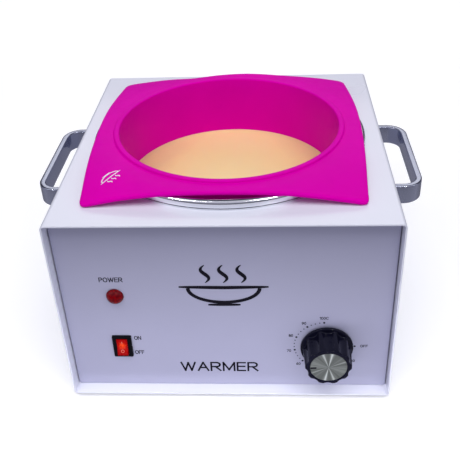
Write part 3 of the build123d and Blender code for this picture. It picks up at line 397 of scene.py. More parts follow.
def wool_material():
    """Glass-wool blanket: matted fibres over soft lumps."""
    made, tree, shader, place = start_material("glass_wool")
    fibre = noise_node(tree, place, 260.0, 8.0, 0.75, (1.0, 3.5, 1.0))
    stops = [(0.3, (0.52, 0.47, 0.32)), (0.55, (0.74, 0.70, 0.55)), (0.8, (0.88, 0.86, 0.76))]
    look(tree, shader, ramp_node(tree, fibre, stops), range_node(tree, fibre, 0.8, 1.0), Sheen_Weight=0.3)
    lump = noise_node(tree, place, 45.0, 2.0)
    bump_node(tree, plus(tree, fibre, times(tree, lump, 2.0)), 0.7, 1.0 * MM, shader)
    return made


def wire(name, colour, rough, bump, vary):
    """The sleeve of a single wire."""
    return plain(name, colour, rough, grain=1300.0, bump=bump, vary=vary)


def earth_material():
    """Green sleeve with a yellow stripe wound round it."""
    made, tree, shader, place = start_material("wire_green_yellow")
    wave = tree.nodes.new("ShaderNodeTexWave")
    wave.inputs["Scale"].default_value = 55.0
    wave.inputs["Distortion"].default_value = 0.4
    wave.bands_direction = "DIAGONAL"
    tree.links.new(place, wave.inputs["Vector"])
    stops = [(0.45, (0.03, 0.30, 0.06)), (0.55, (0.80, 0.68, 0.04))]
    fine = noise_node(tree, place, 1200.0)
    look(tree, shader, ramp_node(tree, wave.outputs["Fac"], stops), range_node(tree, fine, 0.35, 0.5))
    bump_node(tree, fine, 0.1, 0.05 * MM, shader)
    return made


def painted_glint_red():
    """The rocker: red plastic with a painted glint and a painted glow, both strongest round a point behind the
    upper mark.
    """
    made, tree, shader, place = start_material("rocker_red")
    low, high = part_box("switch_rocker")
    # The centre of the painted glint.
    painted_glint_centre = ((low.x + high.x) / 2, low.y, low.z + (high.z - low.z) * 0.62)
    near = range_node(tree, from_point(tree, place, painted_glint_centre, "DISTANCE"), 1.0, 0.0, 1.0 * MM, 8.0 * MM)
    grain = noise_node(tree, place, 700.0, 3.0)
    painted_glow = times(tree, near, range_node(tree, grain, 0.85, 1.1))
    stops = [(0.0, (0.22, 0.0, 0.001)), (0.55, (0.32, 0.002, 0.002)), (1.0, (0.80, 0.07, 0.012))]
    colour = ramp_node(tree, painted_glow, stops)
    # Emission in the painted colour makes the whole rocker glow, most at the glint.
    look(tree, shader, colour, range_node(tree, grain, 0.22, 0.32),
         Emission_Strength=0.25, Specular_IOR_Level=0.06)
    tree.links.new(colour, shader.inputs["Emission Color"])
    bump_node(tree, grain, 0.05, 0.03 * MM, shader, 0.4)
    return made


def lamp_red():
    """Moulded red lens: fine prisms inside show through as a lattice."""
    made, tree, shader, place = start_material("lamp_red")
    cells = cell_node(tree, place, 620.0)
    stops = [(0.0, (0.26, 0.0, 0.001)), (0.8, (0.10, 0.0, 0.003))]
    fine = noise_node(tree, place, 900.0)
    look(tree, shader, ramp_node(tree, cells, stops), range_node(tree, fine, 0.06, 0.12),
         Specular_IOR_Level=0.12, Coat_Weight=0.12, Coat_Roughness=0.03,
         Subsurface_Weight=0.15, Subsurface_Radius=(1.0, 0.05, 0.05), Subsurface_Scale=3 * MM)
    bump_node(tree, fine, 0.03, 0.02 * MM, shader)
    return made


def highlight_painted_metal(name, centre, painted_highlight_rays):
    """A turned disc facing -Y with painted highlights: pairs of bright rays (degrees, sharpness, strength) over
    broad sectors of painted reflection.
    """
    made, tree, shader, place = start_material(name)
    x, _, z = split_node(tree, from_point(tree, place, centre))
    xx, zz = times(tree, x, x), times(tree, z, z)
    square = plus(tree, plus(tree, xx, zz), 1e-10)
    cosine = math_node(tree, "DIVIDE", math_node(tree, "SUBTRACT", xx, zz), square)
    sine = math_node(tree, "DIVIDE", times(tree, times(tree, x, z), 2.0), square)
    both = tree.nodes.new("ShaderNodeCombineXYZ")
    tree.links.new(cosine, both.inputs["X"])
    tree.links.new(sine, both.inputs["Y"])
    # Painted reflection: broad sectors, lighter and darker, by direction round the disc.
    painted_reflection_sectors = noise_node(tree, both.outputs["Vector"], 1.6, 4.0, 0.6)
    light = range_node(tree, painted_reflection_sectors, 0.12, 0.40, 0.35, 0.65)
    # Painted highlights: each ray adds brightness to the colour in its direction.
    for degrees, sharp, strength in painted_highlight_rays:
        turn = math.radians(2 * degrees)
        toward = plus(tree, times(tree, cosine, math.cos(turn)), times(tree, sine, math.sin(turn)))
        painted_highlight_ray = math_node(tree, "POWER", math_node(tree, "MAXIMUM", toward, 0.0), sharp)
        light = plus(tree, light, times(tree, painted_highlight_ray, strength))
    stops = [(0.0, (0.10, 0.11, 0.10)), (0.3, (0.26, 0.28, 0.26)), (1.0, (0.85, 0.90, 0.86))]
    lines = groove_node(tree, math_node(tree, "SQRT", square), 5200.0)
    look(tree, shader, ramp_node(tree, light, stops), range_node(tree, lines, 0.28, 0.40), Metallic=0.75)
    bump_node(tree, lines, 0.25, 0.03 * MM, shader)
    return made


knob_low, knob_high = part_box("knob_body")
KNOB_X = (knob_low.x + knob_high.x) / 2
KNOB_Z = (knob_low.z + knob_high.z) / 2
KNOB_OUT = PANEL_Y - knob_low.y
# Painted highlights on the knob's cap: each ray's direction in degrees, sharpness and strength.
CAP_PAINTED_HIGHLIGHTS = ((80, 90.0, 0.75), (25, 150.0, 0.45), (109, 70.0, 0.6), (150, 6.0, 0.10))

CASE_WHITE = (0.80, 0.81, 0.91)
# The panel is white enamel like the case, painted far darker: painted shade for its less lit, upright face.
PANEL_WHITE_PAINTED_SHADE = (0.35, 0.35, 0.48)
ALUMINIUM = (0.80, 0.81, 0.84)
# The handles' aluminium is painted a darker, bluer grey than bare aluminium: painted shade that dims what the
# straps reflect.
HANDLE_GREY_PAINTED_SHADE = (0.48, 0.50, 0.62)
STAINLESS = (0.74, 0.75, 0.78)
STEEL = (0.60, 0.61, 0.63)

slot_materials = {
    "case_paint": powder_coat("case_paint", CASE_WHITE, 0.30),
    "panel_paint": powder_coat("panel_paint", PANEL_WHITE_PAINTED_SHADE, 0.34),
    "polished_aluminium": spun_metal("spun_aluminium", ALUMINIUM, 0.16, 2600.0, 0.6),
    "handle_aluminium": brushed_metal("handle_aluminium", HANDLE_GREY_PAINTED_SHADE, 0.18, (30.0, 1.0, 30.0)),
    "well_steel": spun_metal("well_steel", STAINLESS, 0.14, 1800.0, 0.5),
    "silicone": silicone_material(),
    "wax": wax_material(),
    "foot_rubber": plain("foot_rubber", (0.02, 0.02, 0.022), 0.75, grain=1400.0, bump=0.35, vary=0.15),
    "screw_steel": brushed_metal("screw_steel", STEEL, 0.26, (8.0, 8.0, 8.0), edge=0.25),
    "knob_plastic": plain("knob_black", (0.004, 0.004, 0.012), 0.13, grain=1100.0, bump=0.05, depth=0.04,
                          vary=0.15, rough_vary=0.04, Specular_IOR_Level=0.16, Coat_Weight=0.05,
                          Coat_Roughness=0.06),
    "knob_cap_metal": highlight_painted_metal("knob_cap_spun_painted_highlights", (KNOB_X, 0.0, KNOB_Z), CAP_PAINTED_HIGHLIGHTS),
    "lamp_red": lamp_red(),
    "switch_black": plain("switch_black", (0.003, 0.003, 0.005), 0.30, grain=2200.0, bump=0.25, depth=0.05,
                          vary=0.2, edge=0.4, Specular_IOR_Level=0.08),
    "rocker_red": painted_glint_red(),
    "inlet_black": plain("inlet_black", (0.018, 0.018, 0.019), 0.48, grain=1800.0, bump=0.3, depth=0.08,
                         vary=0.2, edge=0.5),
    "brass_tabs": brushed_metal("brass_tabs", (0.78, 0.58, 0.26), 0.25, (10.0, 10.0, 1.0)),
    "heater_mica": flaked("heater_mica", (0.46, 0.38, 0.24), (0.27, 0.21, 0.12), 160.0, 0.45),
    "galvanised": flaked("galvanised_steel", (0.55, 0.57, 0.59), (0.40, 0.42, 0.45), 70.0, 0.35, 0.9),
    "wool": wool_material(),
    "ceramic_block": plain("ceramic_block", (0.84, 0.82, 0.76), 0.55, grain=700.0, bump=0.25, vary=0.05),
    "thermostat_case": plain("thermostat_case", (0.62, 0.56, 0.44), 0.5, grain=900.0, bump=0.2, vary=0.08),
    "copper": brushed_metal("copper_tube", (0.80, 0.42, 0.26), 0.24, (1.0, 12.0, 12.0)),
    "wire_brown": wire("wire_brown", (0.16, 0.06, 0.02), 0.45, 0.15, 0.1),
    "wire_blue": wire("wire_blue", (0.02, 0.08, 0.42), 0.45, 0.15, 0.1),
    "wire_white": wire("wire_white", (0.78, 0.77, 0.72), 0.55, 0.3, 0.06),
    "wire_earth": earth_material(),
}

slot_of = {entry["node"]: entry["material_slot"] for entry in frame["record"]["subparts"]}


def paint(made, material):
    made.data.materials.clear()
    made.data.materials.append(material)
    return made


for name, node in frame["nodes"].items():
    paint(node, slot_materials[slot_of[name]])


def stands_for(made, *names, body="root"):
    """The piece takes the place, the body and the finish of the CAD nodes it replaces."""
    paint(made, slot_materials[slot_of[names[0]]])
    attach(made, body)
    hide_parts(*names)
    return made


# ======== silicone liner
liner_low, liner_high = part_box("silicone_liner")
LIP_TOP = liner_high.z
LINER_BASE = liner_low.z
wax_low, wax_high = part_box("wax_fill")
WAX_TOP = wax_high.z
BOWL_FLOOR = wax_low.z
POLE = 0.8 * MM                     # where an upright turned skin ends in its fan
BOWL_OUT = 92.0 * MM
BOWL_IN = 88.42 * MM
BASE_FILLET = 10.0 * MM
NECK_FILLET = 2.0 * MM
FLOOR_FILLET = 8.0 * MM
LIP_IN = 88.8 * MM
LIP_OUT = 93.4 * MM
LIP_FOOT_R = 0.9 * MM
LIP_OUT_R = 1.1 * MM
LIP_IN_R = 1.4 * MM
FLANGE_T = 2.8 * MM
FLANGE_FLAT = LIP_TOP - 2.05 * MM   # flange's upper face, where it lies over the pot's rim
CORNER_TOP = TOP + 3.15 * MM        # and at its corners, which lie on the case
CORNER_BLEND = 9.0 * MM
SIDE_HALF = 102.3 * MM
SIDE_BOW = 4.6 * MM
REAR_HALF = 102.6 * MM
REAR_BOW = 1.2 * MM
FRONT_HALF = 106.2 * MM
FRONT_BOW = -2.4 * MM
LEAST_ACROSS = 0.3                  # how squarely a side counts at least, where it is seen end on
LOWER_EDGE_R = 0.9 * MM
UPPER_EDGE_R = 1.2 * MM
FLAT_R = 103.0 * MM
REACH_R = 146.0 * MM
LANES = 16                          # rows of faces across the flange


def flange_edge(turn):
    """Distance from the bowl's axis to the flange's edge in a direction: a square with bowed sides."""
    c, s = math.cos(turn), math.sin(turn)
    distances = []
    end = (FRONT_HALF, FRONT_BOW) if s < 0 else (REAR_HALF, REAR_BOW)
    for along, beside, half, bow in ((abs(c), s, SIDE_HALF, SIDE_BOW), (abs(s), c, *end)):
        distance = half / max(along, LEAST_ACROSS)
        for _ in range(4):
            place = min(1.0, abs(distance * beside) / half)
            distance = (half + bow * (1 - place ** 2) ** 1.5) / max(along, LEAST_ACROSS)
        distances.append(distance)
    near, far = min(distances), max(distances)
    blend = max(0.0, 1 - (far - near) / CORNER_BLEND)
    return near - CORNER_BLEND * blend * blend / 4


def bump_at(x, middle, width):
    """A smooth hump of height 1, in millimetres."""
    return math.exp(-((x - middle * MM) / (width * MM)) ** 2)


def flange_top(x, y):
    """Height of the flange's upper face: flat over the rim, sagging to the case at its corners."""
    radius = math.hypot(x, y)
    fall = min(1.0, max(0.0, (radius - FLAT_R) / (REACH_R - FLAT_R)))
    height = FLANGE_FLAT + (CORNER_TOP - FLANGE_FLAT) * fall ** 1.35
    turn = math.atan2(y, x)
    limp = smoothstep(93 * MM, 112 * MM, radius) * (1 - smoothstep(128 * MM, 143 * MM, radius))
    wander = 0.55 * math.sin(2 * turn + 0.9) + 0.35 * math.sin(5 * turn + 0.4) + 0.2 * math.sin(9 * turn)
    back = smoothstep(94 * MM, 104 * MM, y) * (1.3 * bump_at(x, 12, 30) - 0.8 * bump_at(x, -38, 14))
    return height + (limp * wander + back) * MM


def flange_row(turn, start, stop, first):
    """Points across the flange's upper face in a direction, from one radius to another."""
    radii = [start + (stop - start) * i / LANES for i in range(first, LANES + 1)]
    return [(r, flange_top(r * math.cos(turn), r * math.sin(turn))) for r in radii]


def flange_section(turn):
    """The liner's closed section in one direction, from the middle underneath to the middle inside."""
    edge = flange_edge(turn)
    rim_z = flange_top(edge * math.cos(turn), edge * math.sin(turn))
    under = FLANGE_FLAT - FLANGE_T
    points = [(POLE, LINER_BASE), (40 * MM, LINER_BASE), (70 * MM, LINER_BASE)]
    points += arc((BOWL_OUT - BASE_FILLET, LINER_BASE + BASE_FILLET), BASE_FILLET, -90, 0, 8)
    points += [(BOWL_OUT, z) for z in (LINER_BASE + 30 * MM, LINER_BASE + 60 * MM, TOP - 4 * MM)]
    points += arc((BOWL_OUT + NECK_FILLET, under - NECK_FILLET), NECK_FILLET, 180, 90, 5)
    points += [(r, z - FLANGE_T) for r, z in flange_row(turn, BOWL_OUT + 3 * MM, edge - 1.3 * MM, 1)]
    points += arc((edge - LOWER_EDGE_R, rim_z - FLANGE_T + LOWER_EDGE_R), LOWER_EDGE_R, -70, 0, 4)
    points += arc((edge - UPPER_EDGE_R, rim_z - UPPER_EDGE_R), UPPER_EDGE_R, 0, 80, 5)
    points += flange_row(turn, edge - 1.6 * MM, LIP_OUT + 1.6 * MM, 0)
    points += arc((LIP_OUT + LIP_FOOT_R, FLANGE_FLAT + LIP_FOOT_R), LIP_FOOT_R, 270, 180, 4)
    points += arc((LIP_OUT - LIP_OUT_R, LIP_TOP - LIP_OUT_R), LIP_OUT_R, 0, 90, 5)
    points += arc((LIP_IN + LIP_IN_R, LIP_TOP - LIP_IN_R), LIP_IN_R, 90, 180, 6)
    points += [(BOWL_IN + 0.25 * MM, LIP_TOP - 12 * MM), (BOWL_IN + 0.1 * MM, LIP_TOP - 25 * MM)]
    points += [(BOWL_IN, WAX_TOP), (BOWL_IN, BOWL_FLOOR + 25 * MM)]
    points += arc((BOWL_IN - FLOOR_FILLET, BOWL_FLOOR + FLOOR_FILLET), FLOOR_FILLET, 0, -90, 6)
    return points + [(40 * MM, BOWL_FLOOR), (POLE, BOWL_FLOOR)]


def corner_turns(steps=300, span=4.0, fine=0.22):
    """Directions round the liner, closer together where its corners are."""
    turns = {round(360.0 * i / steps, 4) for i in range(steps)}
    for corner in (45, 135, 225, 315):
        count = int(span / fine)
        turns |= {round(corner + i * fine, 4) for i in range(-count, count + 1)}
    return [math.radians(t) for t in sorted(turns)]


def build_liner():
    turns = corner_turns()
    sections = [flange_section(turn) for turn in turns]
    rings = []
    for points in zip(*sections):
        rings.append([around_pot(radius * math.cos(turn), radius * math.sin(turn), height)
                      for turn, (radius, height) in zip(turns, points)])
    return ring_mesh("silicone_liner_skin", rings)


stands_for(build_liner(), "silicone_liner", body="liner")

# ======== wax
WAX_R = 88.36 * MM
WAX_SINK = 1.2 * MM
MENISCUS = 1.5 * MM


def build_wax():
    """A set pool with a meniscus where it wets the bowl, and a slight hollow from cooling."""
    base = BOWL_FLOOR + 0.05 * MM
    profile = [(POLE, base), (60 * MM, base)]
    profile += arc((WAX_R - FLOOR_FILLET, base + FLOOR_FILLET), FLOOR_FILLET, -90, 0, 5)
    # The surface starts on a ring of its own over the wall's last one, so that its edge shades crisply.
    profile.append((WAX_R, WAX_TOP))
    for i in range(41):
        radius = WAX_R * (1 - i / 40)
        sunk = WAX_SINK * (1 - math.exp(-(WAX_R - radius) / MENISCUS))
        profile.append((max(radius, POLE), WAX_TOP - sunk))
    made = lathe("wax_pool", profile, 160, around_pot)
    for vert in made.data.vertices:
        x, y, z = vert.co
        if z > WAX_TOP - 4 * MM and math.hypot(x, y - AXIS_Y) < 82 * MM:
            swell = noise.noise(Vector((x * 22, y * 22, 0.3)))
            ripple = noise.noise(Vector((x * 60, y * 60, 2.0)))
            vert.co.z += 0.35 * MM * (swell + 0.4 * ripple)
    return made


stands_for(build_wax(), "wax_fill", body="liner")

# ======== pot
pot_low, pot_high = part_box("wax_pot")
POT_IN = 103.0 * MM
POT_OUT = 104.2 * MM
POT_FLOOR_T = 1.2 * MM
POT_FILLET_OUT = 8.2 * MM
POT_FILLET_IN = 7.0 * MM
COIN_DEPTH = 0.4 * MM
BEAD_R = 3.0 * MM
BEAD_CENTRE = (107.25 * MM, pot_high.z - BEAD_R)


def build_pot():
    """Spun pot: flat base with a coined ring, straight wall, and a rim rolled outwards over itself."""
    base = pot_low.z
    floor = base + POT_FLOOR_T
    bead, curl = BEAD_CENTRE
    profile = [(POLE, base + COIN_DEPTH), (55 * MM, base + COIN_DEPTH), (58 * MM, base), (90 * MM, base)]
    profile += arc((POT_OUT - POT_FILLET_OUT, base + POT_FILLET_OUT), POT_FILLET_OUT, -90, 0, 8)
    profile += [(POT_OUT, TOP - 60 * MM), (POT_OUT, TOP - 20 * MM), (POT_OUT, curl - 1.2 * MM)]
    profile += [(105.6 * MM, curl - 3.15 * MM), (109.4 * MM, curl - 3.2 * MM), (110.0 * MM, curl - 3.05 * MM)]
    profile += [(bead + BEAD_R, curl - 2.6 * MM), (bead + BEAD_R, curl - 1.2 * MM)]
    profile += arc(BEAD_CENTRE, BEAD_R, 0, 150, 20)
    profile += [(103.6 * MM, curl + 0.4 * MM), (POT_IN, curl - 1.4 * MM)]
    profile += [(POT_IN, TOP - 20 * MM), (POT_IN, TOP - 60 * MM)]
    profile += arc((POT_IN - POT_FILLET_IN, floor + POT_FILLET_IN), POT_FILLET_IN, 0, -90, 8)
    profile += [(58 * MM, floor), (55 * MM, floor + COIN_DEPTH), (POLE, floor + COIN_DEPTH)]
    return lathe("spun_pot", profile, 288, around_pot)


stands_for(build_pot(), "wax_pot", body="pot")

# ======== handles
HANDLE_THICK = 4.8 * MM
HANDLE_BEND = 16.0 * MM - HANDLE_THICK / 2


def handle_path(reach, half):
    """The strap's middle line and outward normals, from its foot on the wall round to its other foot."""
    out, leg = reach - HANDLE_THICK / 2, half - HANDLE_THICK / 2
    path = [((0.0, -leg), (0.0, -1.0))]
    for i in range(17):
        turn = math.radians(-90 + 90 * i / 16)
        normal = (math.cos(turn), math.sin(turn))
        middle = (out - HANDLE_BEND, HANDLE_BEND - leg)
        place = (middle[0] + HANDLE_BEND * normal[0], middle[1] + HANDLE_BEND * normal[1])
        path.append((place, normal))
    return path + [((x, -y), (nx, -ny)) for (x, y), (nx, ny) in reversed(path)]


def build_handle(name, side):
    low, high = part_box(name)
    wall = case_high.x
    reach = max(abs(low.x), abs(high.x)) - wall
    edge = rounded_rectangle(HANDLE_THICK, high.z - low.z, 1.2 * MM, 5)
    middle = (low.z + high.z) / 2
    rings = []
    for (x, y), (nx, ny) in handle_path(reach, (high.y - low.y) / 2):
        rings.append([around_pot(side * (wall + x + nx * across), y + ny * across, middle + up)
                      for across, up in edge])
    return ring_mesh(name + "_strap", rings)


stands_for(sharpen(build_handle("handle_left", -1), 50), "handle_left")
stands_for(sharpen(build_handle("handle_right", 1), 50), "handle_right")

# ======== knob
KNOB_GAP = 1.0 * MM
KNOB_HOLLOW_R = 14.5 * MM
SKIRT_R = 20.1 * MM
SKIRT_T = 2.4 * MM
SKIRT_EDGE_R = 0.8 * MM
KNOB_BACK_R = 18.4 * MM
KNOB_FRONT_R = 17.3 * MM
GRIP_FILLET = 0.9 * MM
GRIP_EDGE_R = 1.1 * MM
FLUTES = 10
FLUTE_R = 7.0 * MM
FLUTE_CENTRE = KNOB_FRONT_R + FLUTE_R - 1.3 * MM
CUSP_EASE = 0.35 * MM
CAP_R = 13.8 * MM
CAP_FRONT = KNOB_OUT - 0.2 * MM
RECESS = KNOB_OUT - 1.0 * MM


def grip_radius(turn, out, inset=0.0):
    """Radius of the fluted grip in a direction, at a distance from the panel, eased at its cusps."""
    share = (out - KNOB_GAP) / (KNOB_OUT - KNOB_GAP)
    body = KNOB_BACK_R + (KNOB_FRONT_R - KNOB_BACK_R) * share - inset
    step = 2 * math.pi / FLUTES
    off = (turn - step / 2) % step
    off = min(off, step - off)
    across = FLUTE_CENTRE * math.sin(off)
    if across >= FLUTE_R:
        return body
    flute = FLUTE_CENTRE * math.cos(off) - math.sqrt(FLUTE_R ** 2 - across ** 2) - inset
    gap = min(1.0, max(0.0, 0.5 + 0.5 * (body - flute) / CUSP_EASE))
    return body * (1 - gap) + flute * gap - CUSP_EASE * gap * (1 - gap)


def build_knob(steps=360):
    turns = circle(steps)
    rings = []

    def ring(out, radius_of):
        rings.append([to_front(KNOB_X + radius_of(t) * math.cos(t), KNOB_Z + radius_of(t) * math.sin(t), out)
                      for t in turns])

    def round_rings(profile):
        for radius, out in profile:
            ring(out, lambda t, r=radius: r)

    round_rings([(KNOB_HOLLOW_R, 14 * MM), (KNOB_HOLLOW_R, KNOB_GAP + 0.2 * MM),
                 (KNOB_HOLLOW_R + 0.3 * MM, KNOB_GAP), (SKIRT_R - 0.3 * MM, KNOB_GAP),
                 (SKIRT_R, KNOB_GAP + 0.3 * MM)])
    skirt_top = KNOB_GAP + SKIRT_T
    round_rings(arc((SKIRT_R - SKIRT_EDGE_R, skirt_top - SKIRT_EDGE_R), SKIRT_EDGE_R, 0, 90, 5))
    for i in range(6):
        turn = math.radians(90 * i / 5)
        out = skirt_top + GRIP_FILLET * (1 - math.cos(turn))
        spread = GRIP_FILLET * (1 - math.sin(turn))
        ring(out, lambda t, o=out, s=spread: min(grip_radius(t, o) + s, SKIRT_R - 1.0 * MM))
    start, stop = skirt_top + GRIP_FILLET, KNOB_OUT - GRIP_EDGE_R
    for i in range(1, 7):
        out = start + (stop - start) * i / 6
        ring(out, lambda t, o=out: grip_radius(t, o))
    for i in range(1, 6):
        turn = math.radians(90 * i / 5)
        out = KNOB_OUT - GRIP_EDGE_R * (1 - math.sin(turn))
        inset = GRIP_EDGE_R * (1 - math.cos(turn))
        ring(out, lambda t, o=out, n=inset: grip_radius(t, o, n))
    round_rings([(CAP_R + 0.45 * MM, KNOB_OUT), (CAP_R + 0.1 * MM, KNOB_OUT - 0.15 * MM),
                 (CAP_R + 0.03 * MM, KNOB_OUT - 0.4 * MM), (CAP_R + 0.03 * MM, RECESS)])
    return sharpen(ring_mesh("knob_grip", rings), 60)


stands_for(build_knob(), "knob_body", body="knob")


def build_cap():
    """Turned aluminium disc: bevelled rim, then a face dished so slightly that it only catches light."""
    pole = 0.2 * MM
    profile = [(pole, RECESS), (CAP_R - 0.2 * MM, RECESS), (CAP_R, RECESS + 0.2 * MM)]
    profile += [(CAP_R, CAP_FRONT - 0.3 * MM), (CAP_R - 0.35 * MM, CAP_FRONT)]
    for i in range(13):
        radius = (CAP_R - 0.7 * MM) * (1 - i / 12)
        dish = 0.12 * MM * math.sin(math.pi * radius / CAP_R)
        profile.append((max(radius, pole), CAP_FRONT - 0.05 * MM - dish))
    return sharpen(lathe("knob_cap_disc", profile, 192, ahead_of(KNOB_X, KNOB_Z)), 40)


stands_for(build_cap(), "knob_cap", body="knob")

# ======== lamp
lens_low, lens_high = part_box("lamp_lens")
LAMP_X = (lens_low.x + lens_high.x) / 2
LAMP_Z = (lens_low.z + lens_high.z) / 2
LAMP_R = (lens_high.x - lens_low.x) / 2
LENS_RISE = PANEL_Y - lens_low.y
DOME_R = 7.0 * MM


def build_lens():
    top = math.degrees(math.acos(LAMP_R / DOME_R))
    profile = [(0.1 * MM, 0.0), (LAMP_R - 0.2 * MM, 0.0), (LAMP_R, 0.15 * MM)]
    profile += arc((0.0, LENS_RISE - DOME_R), DOME_R, top, 89.5, 24)
    return lathe("lamp_dome", profile, 96, ahead_of(LAMP_X, LAMP_Z))


stands_for(build_lens(), "lamp_lens")


# ======== marks and lettering
def prism(name, outline, place, thick):
    """A thin plate with the given outline; place(u, v, height) says where its points lie."""
    count = len(outline)
    verts = [place(u, v, 0.0) for u, v in outline] + [place(u, v, thick) for u, v in outline]
    faces = [(j, (j + 1) % count, count + (j + 1) % count, count + j) for j in range(count)]
    faces += [tuple(range(count)), tuple(range(count, 2 * count))]
    return outward(new_object(name, verts, faces, smooth=False))


def stroke(name, points, widths, place, thick):
    """A brush stroke along points, with a width at each point, as a thin plate built of short spans."""
    left, right = [], []
    for i, (u, v) in enumerate(points):
        before, after = points[max(i - 1, 0)], points[min(i + 1, len(points) - 1)]
        along = Vector((after[0] - before[0], after[1] - before[1]))
        along.normalize()
        half = widths[i] / 2
        left.append((u - along.y * half, v + along.x * half))
        right.append((u + along.y * half, v - along.x * half))
    count = len(points)
    verts = []
    for height in (0.0, thick):
        verts += [place(u, v, height) for u, v in left + right]
    top = 2 * count
    last = count - 1
    faces = [(0, count, top + count, top), (last, top + last, top + count + last, count + last)]
    for i in range(last):
        a, b = i, count + i
        faces += [(a, a + 1, b + 1, b), (top + a, top + b, top + b + 1, top + a + 1)]
        faces += [(a, top + a, top + a + 1, a + 1), (b, b + 1, top + b + 1, top + b)]
    return outward(new_object(name, verts, faces, smooth=False))


def ring_mark(name, outer, inner, place, thick, steps=40):
    """A flat ring as a thin plate."""
    verts = []
    for height in (0.0, thick):
        for radius in (inner, outer):
            verts += [place(radius * math.cos(t), radius * math.sin(t), height) for t in circle(steps)]
    faces = []
    for j in range(steps):
        k = (j + 1) % steps
        faces += [(j, k, steps + k, steps + j), (2 * steps + j, 3 * steps + j, 3 * steps + k, 2 * steps + k)]
        faces += [(j, 2 * steps + j, 2 * steps + k, k), (steps + j, steps + k, 3 * steps + k, 3 * steps + j)]
    return outward(new_object(name, verts, faces, smooth=False))


# Plain capitals and figures as pen strokes: the width of each against its height, then its lines.
STEM = [(0, 0), (0, 1)]
BOWL = [(0, 1), (0.55, 1)] + curve_points(0.58, 0.74, 0.36, 0.26, 90, -90, 12) + [(0, 0.48)]
HOOK = curve_points(0.45, 0.31, 0.5, 0.31, 130, -150, 16)
GLYPHS = {
    "A": (1.02, [[(0, 0), (0.5, 1), (1, 0)], [(0.19, 0.36), (0.81, 0.36)]]),
    "C": (0.95, [curve_points(0.52, 0.5, 0.52, 0.5, 45, 315, 24)]),
    "E": (0.78, [[(1, 0), (0, 0), (0, 1), (1, 1)], [(0, 0.53), (0.92, 0.53)]]),
    "F": (0.72, [[(0, 0), (0, 1), (1, 1)], [(0, 0.53), (0.88, 0.53)]]),
    "M": (1.12, [[(0, 0), (0, 1), (0.5, 0.1), (1, 1), (1, 0)]]),
    "N": (0.95, [[(0, 0), (0, 1), (1, 0), (1, 1)]]),
    "O": (1.05, [curve_points(0.5, 0.5, 0.5, 0.5, steps=32)]),
    "P": (0.80, [STEM, BOWL]),
    "R": (0.95, [STEM, BOWL, [(0.45, 0.48), (1, 0)]]),
    "W": (1.42, [[(0, 1), (0.27, 0), (0.5, 0.96), (0.73, 0), (1, 1)]]),
    "0": (0.70, [curve_points(0.5, 0.5, 0.5, 0.5, steps=24)]),
    "1": (0.42, [[(0, 0.8), (1, 1), (1, 0)]]),
    "3": (0.65, [curve_points(0.45, 0.74, 0.42, 0.26, 150, -90, 14),
                 curve_points(0.45, 0.26, 0.5, 0.26, 90, -150, 14)]),
    "4": (0.75, [[(0.75, 0), (0.75, 1), (0, 0.28), (1, 0.28)]]),
    "5": (0.65, [[(0.9, 1), (0.15, 1), (0.08, 0.54)] + HOOK]),
    "6": (0.68, [curve_points(0.5, 0.31, 0.5, 0.31), [(0.8, 1), (0.38, 0.82), (0.08, 0.55), (0, 0.31)]]),
    "7": (0.65, [[(0, 1), (1, 1), (0.3, 0)]]),
    "8": (0.68, [curve_points(0.5, 0.76, 0.4, 0.24), curve_points(0.5, 0.27, 0.5, 0.27)]),
    "9": (0.68, [curve_points(0.5, 0.69, 0.5, 0.31), [(0.2, 0), (0.62, 0.18), (0.92, 0.45), (1, 0.69)]]),
}
LETTER_GAP = 0.32


def letters(name, text, box, place, thick, weight):
    """Lettering fitted to a box (u0, u1, v0, v1) with strokes of one weight; u1 None centres it on u0."""
    u0, u1, v0, v1 = box
    widths = [GLYPHS[sign][0] for sign in text]
    total = sum(widths) + LETTER_GAP * (len(text) - 1)
    tall = v1 - v0 - weight
    wide = 0.8 * tall if u1 is None else (u1 - u0 - weight) / total
    start = u0 - wide * total / 2 if u1 is None else u0 + weight / 2
    parts = []
    for sign, share in zip(text, widths):
        for line in GLYPHS[sign][1]:
            points = [(start + u * share * wide, v0 + weight / 2 + v * tall) for u, v in line]
            for i, (a, b) in enumerate(zip(points, points[1:])):
                along = Vector((b[0] - a[0], b[1] - a[1])).normalized() * weight / 2
                ends = [(a[0] - along.x, a[1] - along.y), (b[0] + along.x, b[1] + along.y)]
                parts.append(stroke(f"{name}_{len(parts)}", ends, [weight] * 2, place, thick))
        start += (share + LETTER_GAP) * wide
    return joined(name, parts)


def joined(name, parts):
    """One object out of several meshes."""
    shape = bmesh.new()
    for part in parts:
        shape.from_mesh(part.data)
        bpy.data.objects.remove(part)
    mesh = bpy.data.meshes.new(name)
    shape.to_mesh(mesh)
    shape.free()
    return linked(name, mesh)


INK = 0.06 * MM
print_black = plain("print_black", (0.006, 0.005, 0.010), 0.5, grain=2400.0, bump=0.2, depth=0.02,
                    vary=0.25, Specular_IOR_Level=0.1)
print_white = plain("print_white", (0.86, 0.82, 0.86), 0.5, grain=2400.0, bump=0.2, depth=0.02, vary=0.08)
mark_light = plain("rocker_marks", (0.62, 0.14, 0.10), 0.35, grain=1800.0, bump=0.1, depth=0.02, vary=0.08)


def on_panel(u, v, height):
    """Panel print: u across and v up from the case's bottom, in metres."""
    return to_front(u, case_low.z + v, height)


